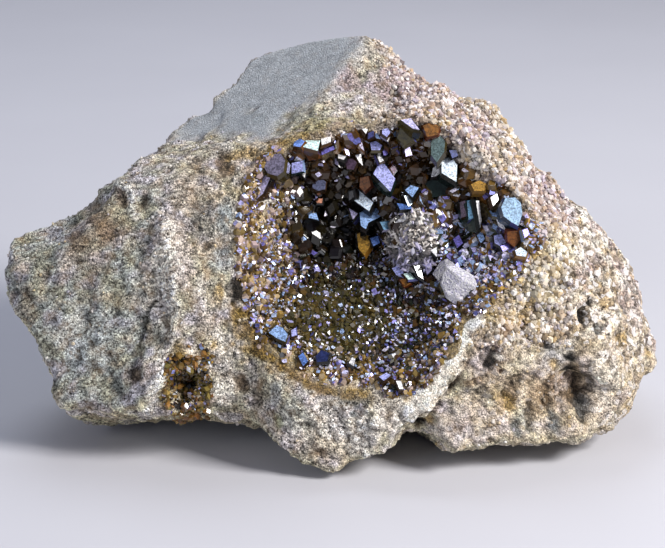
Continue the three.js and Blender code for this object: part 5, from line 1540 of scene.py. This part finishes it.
def ring_crystal(crystals, outline, normal, size):
    """Adds a crystal of four rings: its outline, girdle, shoulder and foot. Returns its faces' number."""
    middle = outline.mean(axis=0)
    spokes = outline - middle
    shift = [growing.uniform(-RING_SHIFT, RING_SHIFT, 3) * size for _ in range(3)]
    wider = 1 + GIRDLE / size
    rings = [
        outline,
        middle + spokes * wider - normal * GIRDLE_BEHIND * size + shift[0],
        middle + spokes * wider * SHOULDER_WIDTH - normal * SHOULDER_BEHIND * size + shift[1],
        middle + spokes * FOOT_WIDTH - normal * FOOT_BEHIND * size + shift[2],
    ]
    sides = len(outline)
    ring = np.arange(sides)
    after = (ring + 1) % sides
    faces = [ring]
    for level in range(3):
        quads = np.column_stack([ring, ring + sides, after + sides, after]) + level * sides
        faces.extend(quads)
    faces.append(ring[::-1] + 3 * sides)
    crystals.add((np.concatenate(rings), faces), np.zeros((1, 3)), np.eye(3)[None], np.ones(1))
    return len(faces)


def best_face_crystal(crystals, tint, body, turn, tip, *corners):
    """The crystal behind one listed face, seated on the skin."""
    corners = np.array(corners, float)
    reach = np.linalg.norm(corners - corners.mean(axis=0), axis=1)
    size = np.sqrt(reach.max() * reach.min()) + SIZE_MARGIN
    across_at, up_at = corners.mean(axis=0)
    middle = sighted(across_at, up_at, seat_depth(across_at, up_at) - LARGE_PROUD - size)
    normal = aimed(turn, tip)
    outline = on_plane(corners, middle, normal)
    if np.cross(outline[1] - outline[0], outline[2] - outline[1]) @ normal < 0:
        outline = outline[::-1]
    count = ring_crystal(crystals, outline, normal, size)
    tints = np.array(BODY_COLOURS[body]) * growing.uniform(0.4, 2.2, (count, 1))
    # painted reflection: a few side faces get a dimmer glint tint, and the best face its listed tint
    glinting = growing.uniform(0, 1, count) < GLINTING_SIDES
    tints[glinting] = GLINT_TINTS[growing.integers(0, len(GLINT_TINTS), glinting.sum())] * 0.5
    tints[0] = FACE_TINTS[tint]
    crystals.colour(tints, (np.arange(count) == 0) * 1.0)


large = Crystals()
for row in BEST_FACES:
    best_face_crystal(large, *row)
piece_of(large.mesh("garnet_crystals"), garnet_finish, ["garnet_crust"])

# %% [markdown]
# ## The small pocket
# Low on the left a second, small pocket opens in the rock, lined with brown and amber garnets.
# They stand on the stone's own surface inside the mark that darkens it, and are painted darker in
# the pocket's middle, as its shade.

# %% Garnets of the pocket
POCKET_SWEEPS = ((0.9, 0.36), (0.5, 0.2))  # gap and size of the garnets in each, millimetres
POCKET_PLACES = 1800  # random places tried in each
POCKET_TINTS = np.concatenate([BODY_TINTS[[0, 2, 3, 5, 7]], RIM_TINTS[[0, 1, 2, 4]] * 0.5])
pocket_sowing = np.random.default_rng(31)
pocket_share = oval(-17.6, -13.3, 2.7, 4.3, -6) ** 0.6 * ramp(stone_points[:, 2], 3, 5)
pocket = Crystals()
for gap, radius in POCKET_SWEEPS:
    picked, at = spaced_places(stone_grid, pocket_share, POCKET_PLACES, gap, pocket_sowing)
    sizes = radius * pocket_sowing.uniform(0.6, 1.25, len(at))
    bodies = POCKET_TINTS[pocket_sowing.integers(0, len(POCKET_TINTS), len(at))]
    # painted shade: garnets darker, with fewer painted glints, in the pocket's middle
    middle_dark = 1 - 0.7 * ramp(pocket_share[picked], 0.9, 1.0)
    bodies = bodies * (3.0 * middle_dark)[:, None]
    turned = random_turns(pocket_sowing, len(at))
    chance = 0.2 * middle_dark
    add_garnets(pocket, pocket_sowing, TINY_FORMS, at, turned, sizes, bodies, chance, brightness=0.7)
piece_of(pocket.mesh("pocket_garnets"), garnet_finish, ["pocket_garnet_crust"])

# %% [markdown]
# ## The knob of white druse
# To the right of the middle sits a knob as large as a pea, all fine white needles and chips with
# dark gaps between them. Its core is a ball a little smaller than the solid, painted dark to stand
# for the shade in those gaps, and the chips are stretched crystals that stand out of it every way.
# More of them spread over the druse beside it.

# %% A core a little smaller than the solid
knob_low, knob_high = (np.array(corner) * 1000 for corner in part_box("white_druse_knob"))
KNOB_MIDDLE = (knob_low + knob_high) / 2
KNOB_HALF = (knob_high - knob_low) / 2
KNOB_ROWS = 30
KNOB_COLUMNS = 48
CORE_SHARE = 0.86  # the core's size as a share of the solid's
POLE_GAP = 0.06  # radians between a pole and the nearest row
knob_turn = np.linspace(0, 2 * np.pi, KNOB_COLUMNS, endpoint=False)
knob_away = np.linspace(POLE_GAP, np.pi - POLE_GAP, KNOB_ROWS)
knob_turn, knob_away = np.meshgrid(knob_turn, knob_away)
knob_side = np.sin(knob_away)
knob_way = [knob_side * np.cos(knob_turn), knob_side * np.sin(knob_turn), np.cos(knob_away)]
knob_way = np.stack(knob_way, axis=-1)
knob_rough = lumps(knob_way.reshape(-1, 3) * 3, 0.9, 91).reshape(knob_away.shape)
knob_rough = CORE_SHARE + 0.10 * knob_rough
knob = KNOB_MIDDLE + knob_way * KNOB_HALF * knob_rough[..., None]
knob_poles = KNOB_MIDDLE + np.array([[0, 0, CORE_SHARE], [0, 0, -CORE_SHARE]]) * KNOB_HALF
print("knob, mm:", np.round(2 * KNOB_HALF, 1))

# %% Chips that stand out of it
CHIP_TINTS = np.array([
    (0.92, 0.90, 0.86), (0.60, 0.54, 0.47), (0.34, 0.29, 0.24), (0.86, 0.80, 0.72),
    (0.01, 0.009, 0.008), (0.44, 0.41, 0.56), (0.10, 0.08, 0.06), (0.78, 0.72, 0.66),
    (0.02, 0.018, 0.015),
])
NEEDLE = np.array([0.5, 0.7, 1.9])  # how far a chip is drawn out along three directions
CHIP_GAP = 0.38
KNOB_PLACES = 5000
APRON_PLACES = 1500
chip_sowing = np.random.default_rng(37)
apron = dome(7.9, 4.4, 1.4, 3.0) + dome(10.0, 1.6, 2.6, 1.4)  # druse that spreads left and below
chips = Crystals()
_, on_knob = places_on(knob, np.ones(knob_away.size), KNOB_PLACES, chip_sowing)
_, on_skin = places_on(skin, np.minimum(apron, 1), APRON_PLACES, chip_sowing)
on_skin = on_skin - BEHIND * chip_sowing.uniform(0.5, 1.3, (len(on_skin), 1))
at = np.concatenate([on_knob, on_skin])
at = at[spread_out(at, CHIP_GAP, chip_sowing)]
low_chips = ramp(-read_off(at)[1], -4.2, -1.6)[:, None]
kind = chip_sowing.integers(0, len(TINY_FORMS), len(at))
turned = random_turns(chip_sowing, len(at))
for number, (points, faces) in enumerate(TINY_FORMS):
    mine = kind == number
    sizes = chip_sowing.uniform(0.11, 0.34, mine.sum())
    normals = chips.add((points * NEEDLE, faces), at[mine], turned[mine], sizes)
    body = CHIP_TINTS[chip_sowing.integers(0, len(CHIP_TINTS), mine.sum())]
    body = body * (1 - low_chips[mine] * [0.62, 0.62, 0.35])  # darker and bluer low down
    shades = chip_sowing.uniform(0.5, 1.25, normals.shape[:2] + (1,))
    chips.colour(body[:, None] * shades, np.full(normals.shape[:2], 0.3))
print("chips:", len(at))

# %% [markdown]
# ## The knob's finish
# A heap of clear chips looks white, because light is scattered on its way through, so the chips are
# nearly white and fairly smooth. The core is what shows between them, painted dark as the shade in
# those gaps.

# %% White druse
def druse_stone():
    """Colourless chips: white where they catch light, greyer inside, glassy all over."""
    white = Finish("white_druse", IOR=1.55)
    cloud = white.noise(0.3, 2.0)
    tint = white.attribute("tint", "Color")
    white.set("Base Color", white.mixed(0.2 * cloud, tint, (0.85, 0.82, 0.80, 1)))
    white.set("Roughness", 0.22 + cloud * 0.25)
    return white.material


def dark_core():
    """Brown grains, painted dark as the shade in a gap between chips."""
    core = Finish("druse_core", IOR=1.5)
    grain = core.red(core.cells(0.3, "Color"))
    core.set("Base Color", core.mixed(grain, (0.012, 0.010, 0.008, 1), (0.12, 0.10, 0.09, 1)))
    core.set("Roughness", 0.5 + grain * 0.3)
    core.bump(core.cells(0.3, "Distance"), 0.8, 0.15)
    return core.material


knob_points = np.concatenate([knob.reshape(-1, 3), knob_poles])
knob_mesh = mesh_of("white_druse_core", knob_points, *globe_faces(KNOB_ROWS, KNOB_COLUMNS))
knob_mesh.shade_smooth()
piece_of(knob_mesh, dark_core(), ["white_druse_knob"])
piece_of(chips.mesh("white_druse_chips"), druse_stone(), ["white_druse_knob"])

# %% [markdown]
# ## The quartz
# One pale crystal of quartz leans out of the lower right of the hollow. It is stepped and blunt:
# three blocks grown into one another. Each block is cut by flat sides along its outline, read along
# the line of sight, and by a few facets that face the viewer. It is clear with a milky, lavender
# veil, so light goes through it plainly.

# %% Blocks of quartz
QUARTZ_BLOCKS = [  # how proud it stands, then the corners of its outline as (across, up), clockwise
    (1.1, (12.3, 0.1), (13.2, 1.5), (14.1, 1.9), (15.2, 1.0), (15.2, -1.4), (13.3, -1.3)),
    (1.5, (13.7, 0.9), (15.2, 1.1), (16.2, 0.5), (17.3, -0.2), (17.7, -1.2), (17.3, -2.2), (16.2, -2.9),
     (14.2, -2.7), (13.3, -1.2)),
    (1.0, (13.2, -1.2), (15.8, -1.2), (16.4, -2.9), (16.0, -4.0), (15.0, -3.7), (13.9, -2.9)),
]
QUARTZ_FRONTS = [  # turn, tip and reach of the facets that face the viewer, one list for each block
    ((-30, 24, 0.95), (20, 34, 1.05), (-8, -14, 0.9), (-4, 8, 1.15)),
    ((-26, 10, 1.1), (28, 24, 1.15), (2, -26, 1.1), (4, 44, 1.15), (4, 6, 1.4)),
    ((-34, 4, 0.8), (24, 10, 0.85), (-2, -38, 0.9), (-4, 26, 1.1)),
]
QUARTZ_DEPTH = 2.6  # how far each block reaches back into the crust
BLOCK_SHADES = (0.5, 1.0, 0.9)  # the block at the top left is darker


def block_form(middle, outline, fronts):
    """A block about `middle`: flat sides through the outline, facets in front, a flat end behind."""
    outline = np.array(outline) - middle
    run = np.roll(outline, -1, axis=0) - outline
    out = unit(np.column_stack([-run[:, 1], run[:, 0]]))
    side_reach = (out * outline).sum(axis=1)
    sides = unit(out @ np.array([RIGHT, UPWARD]) + 0.10 * BEHIND)
    facets = np.array([aimed(turn, tip) for turn, tip, _ in fronts])
    reach = [*side_reach, *(distance for _, _, distance in fronts), QUARTZ_DEPTH]
    return crystal_form(np.concatenate([sides, facets, BEHIND[None]]), np.array(reach))


quartz = Crystals()
quartz_shades = np.random.default_rng(41)
for (proud_by, *outline), fronts, block_shade in zip(QUARTZ_BLOCKS, QUARTZ_FRONTS, BLOCK_SHADES):
    middle = np.mean(outline, axis=0)
    form = block_form(middle, outline, fronts)
    at = sighted(*middle, min(seat_depth(15.0, -1.0), seat_depth(*middle)) - proud_by)[None]
    normals = quartz.add(form, at, np.eye(3)[None], np.ones(1))
    shades = block_shade * quartz_shades.uniform(0.72, 1.12, normals.shape[:2] + (1,))
    quartz.colour(shades * np.ones(3), np.ones(normals.shape[:2]))
print("faces of each block of quartz:", [len(c) for c in quartz.counts])


# %% Milky quartz
def milky_quartz():
    """Clear quartz with a veil: the veil scatters, the rest of the light passes straight on."""
    clear = Finish("milky_quartz", IOR=1.54, Transmission_Weight=0.3)
    veil = clear.noise(0.9, 4.0)
    vein = veil.rise(0.42, 0.5) - veil.rise(0.5, 0.58)
    frost = clear.noise(0.22, 3.0)
    milk = clear.mixed(frost.rise(0.40, 0.58), (0.54, 0.51, 0.72, 1), (0.92, 0.90, 0.96, 1))
    veined = clear.mixed(vein * 0.8, milk, (1.0, 1.0, 1.0, 1))
    clear.set("Base Color", clear.mixed(1.0, veined, clear.attribute("tint", "Color"), "MULTIPLY"))
    clear.set("Roughness", 0.12 + frost * 0.35)
    clear.bump(veil + vein * 0.5 + frost * 0.3, 0.8, 0.28)
    return clear.material


piece_of(quartz.mesh("quartz_crystal_blocks"), milky_quartz(), ["quartz_crystal"])

# %% [markdown]
# ## Grains that stand free
# The coarse half of the rock is made of grains large enough to see: white and cream carbonate,
# brown and violet-grey ones, most of them broken along flat faces that sparkle. They are sown over
# the stone where it is coarse, and thinly elsewhere, half sunk in the surface.

# %% Sow the grains
GRAIN_TINTS = np.array([
    (0.86, 0.83, 0.79), (0.70, 0.63, 0.52), (0.92, 0.91, 0.93), (0.50, 0.41, 0.30),
    (0.48, 0.44, 0.54), (0.62, 0.54, 0.46), (0.18, 0.12, 0.06), (0.50, 0.34, 0.12),
    (0.05, 0.04, 0.03), (0.28, 0.17, 0.07),
])
GRAIN_PLACES = 14000
GRAIN_GAP = 0.40
MOST_GRAINS = 6800
LOWEST_GRAIN = 0.7  # millimetres above the floor
TONE_SHARE = 0.5  # how much of the stone's own colour a grain takes
loose = np.random.default_rng(43)
loose_share = outside_share * (0.03 + 0.97 * coarse_share) * (0.35 + 0.65 * front) * (1 - smooth_share)
loose_share *= ramp(stone_points[:, 2], 0.6, 1.4) * (1 - 0.9 * crest_share)
loose_share *= 1 - 0.85 * ramp(-up, 8, 11) * (1 - 0.6 * ramp(across, 31, 35))
mineral = Crystals()
picked, at = spaced_places(stone_grid, loose_share, GRAIN_PLACES, GRAIN_GAP, loose)
kept = np.flatnonzero(at[:, 2] > LOWEST_GRAIN)[:MOST_GRAINS]
picked, at = picked[kept], at[kept]
turned = random_turns(loose, len(at))
kind = loose.integers(0, len(TINY_FORMS), len(at))
sizes = (0.11 + 0.11 * coarse_share[picked]) * loose.uniform(0.5, 1.7, len(at))
bodies = GRAIN_TINTS[loose.integers(0, len(GRAIN_TINTS), len(at))]
bodies = bodies + (tone[picked] - bodies) * TONE_SHARE
for number, form in enumerate(TINY_FORMS):
    mine = kind == number
    normals = mineral.add(form, at[mine], turned[mine], sizes[mine])
    shades = loose.uniform(0.7, 1.2, normals.shape[:2] + (1,))
    mineral.colour(bodies[mine][:, None] * shades, loose.uniform(0, 1, normals.shape[:2]) ** 3)
print("grains:", len(at))


# %% Rock grain
def grain_stone():
    """Carbonate grains: chalky, with a glassy face here and there."""
    chalk = Finish("rock_grain", IOR=1.55)
    gloss_and_glint = chalk.attribute("gloss_and_glint")
    chalk.set("Base Color", chalk.attribute("tint", "Color"))
    chalk.set("Roughness", 0.75 - gloss_and_glint * 0.6)
    chalk.bump(chalk.noise(0.12, 2.0), 0.3, 0.05)
    return chalk.material


piece_of(mineral.mesh("rock_grains"), grain_stone())
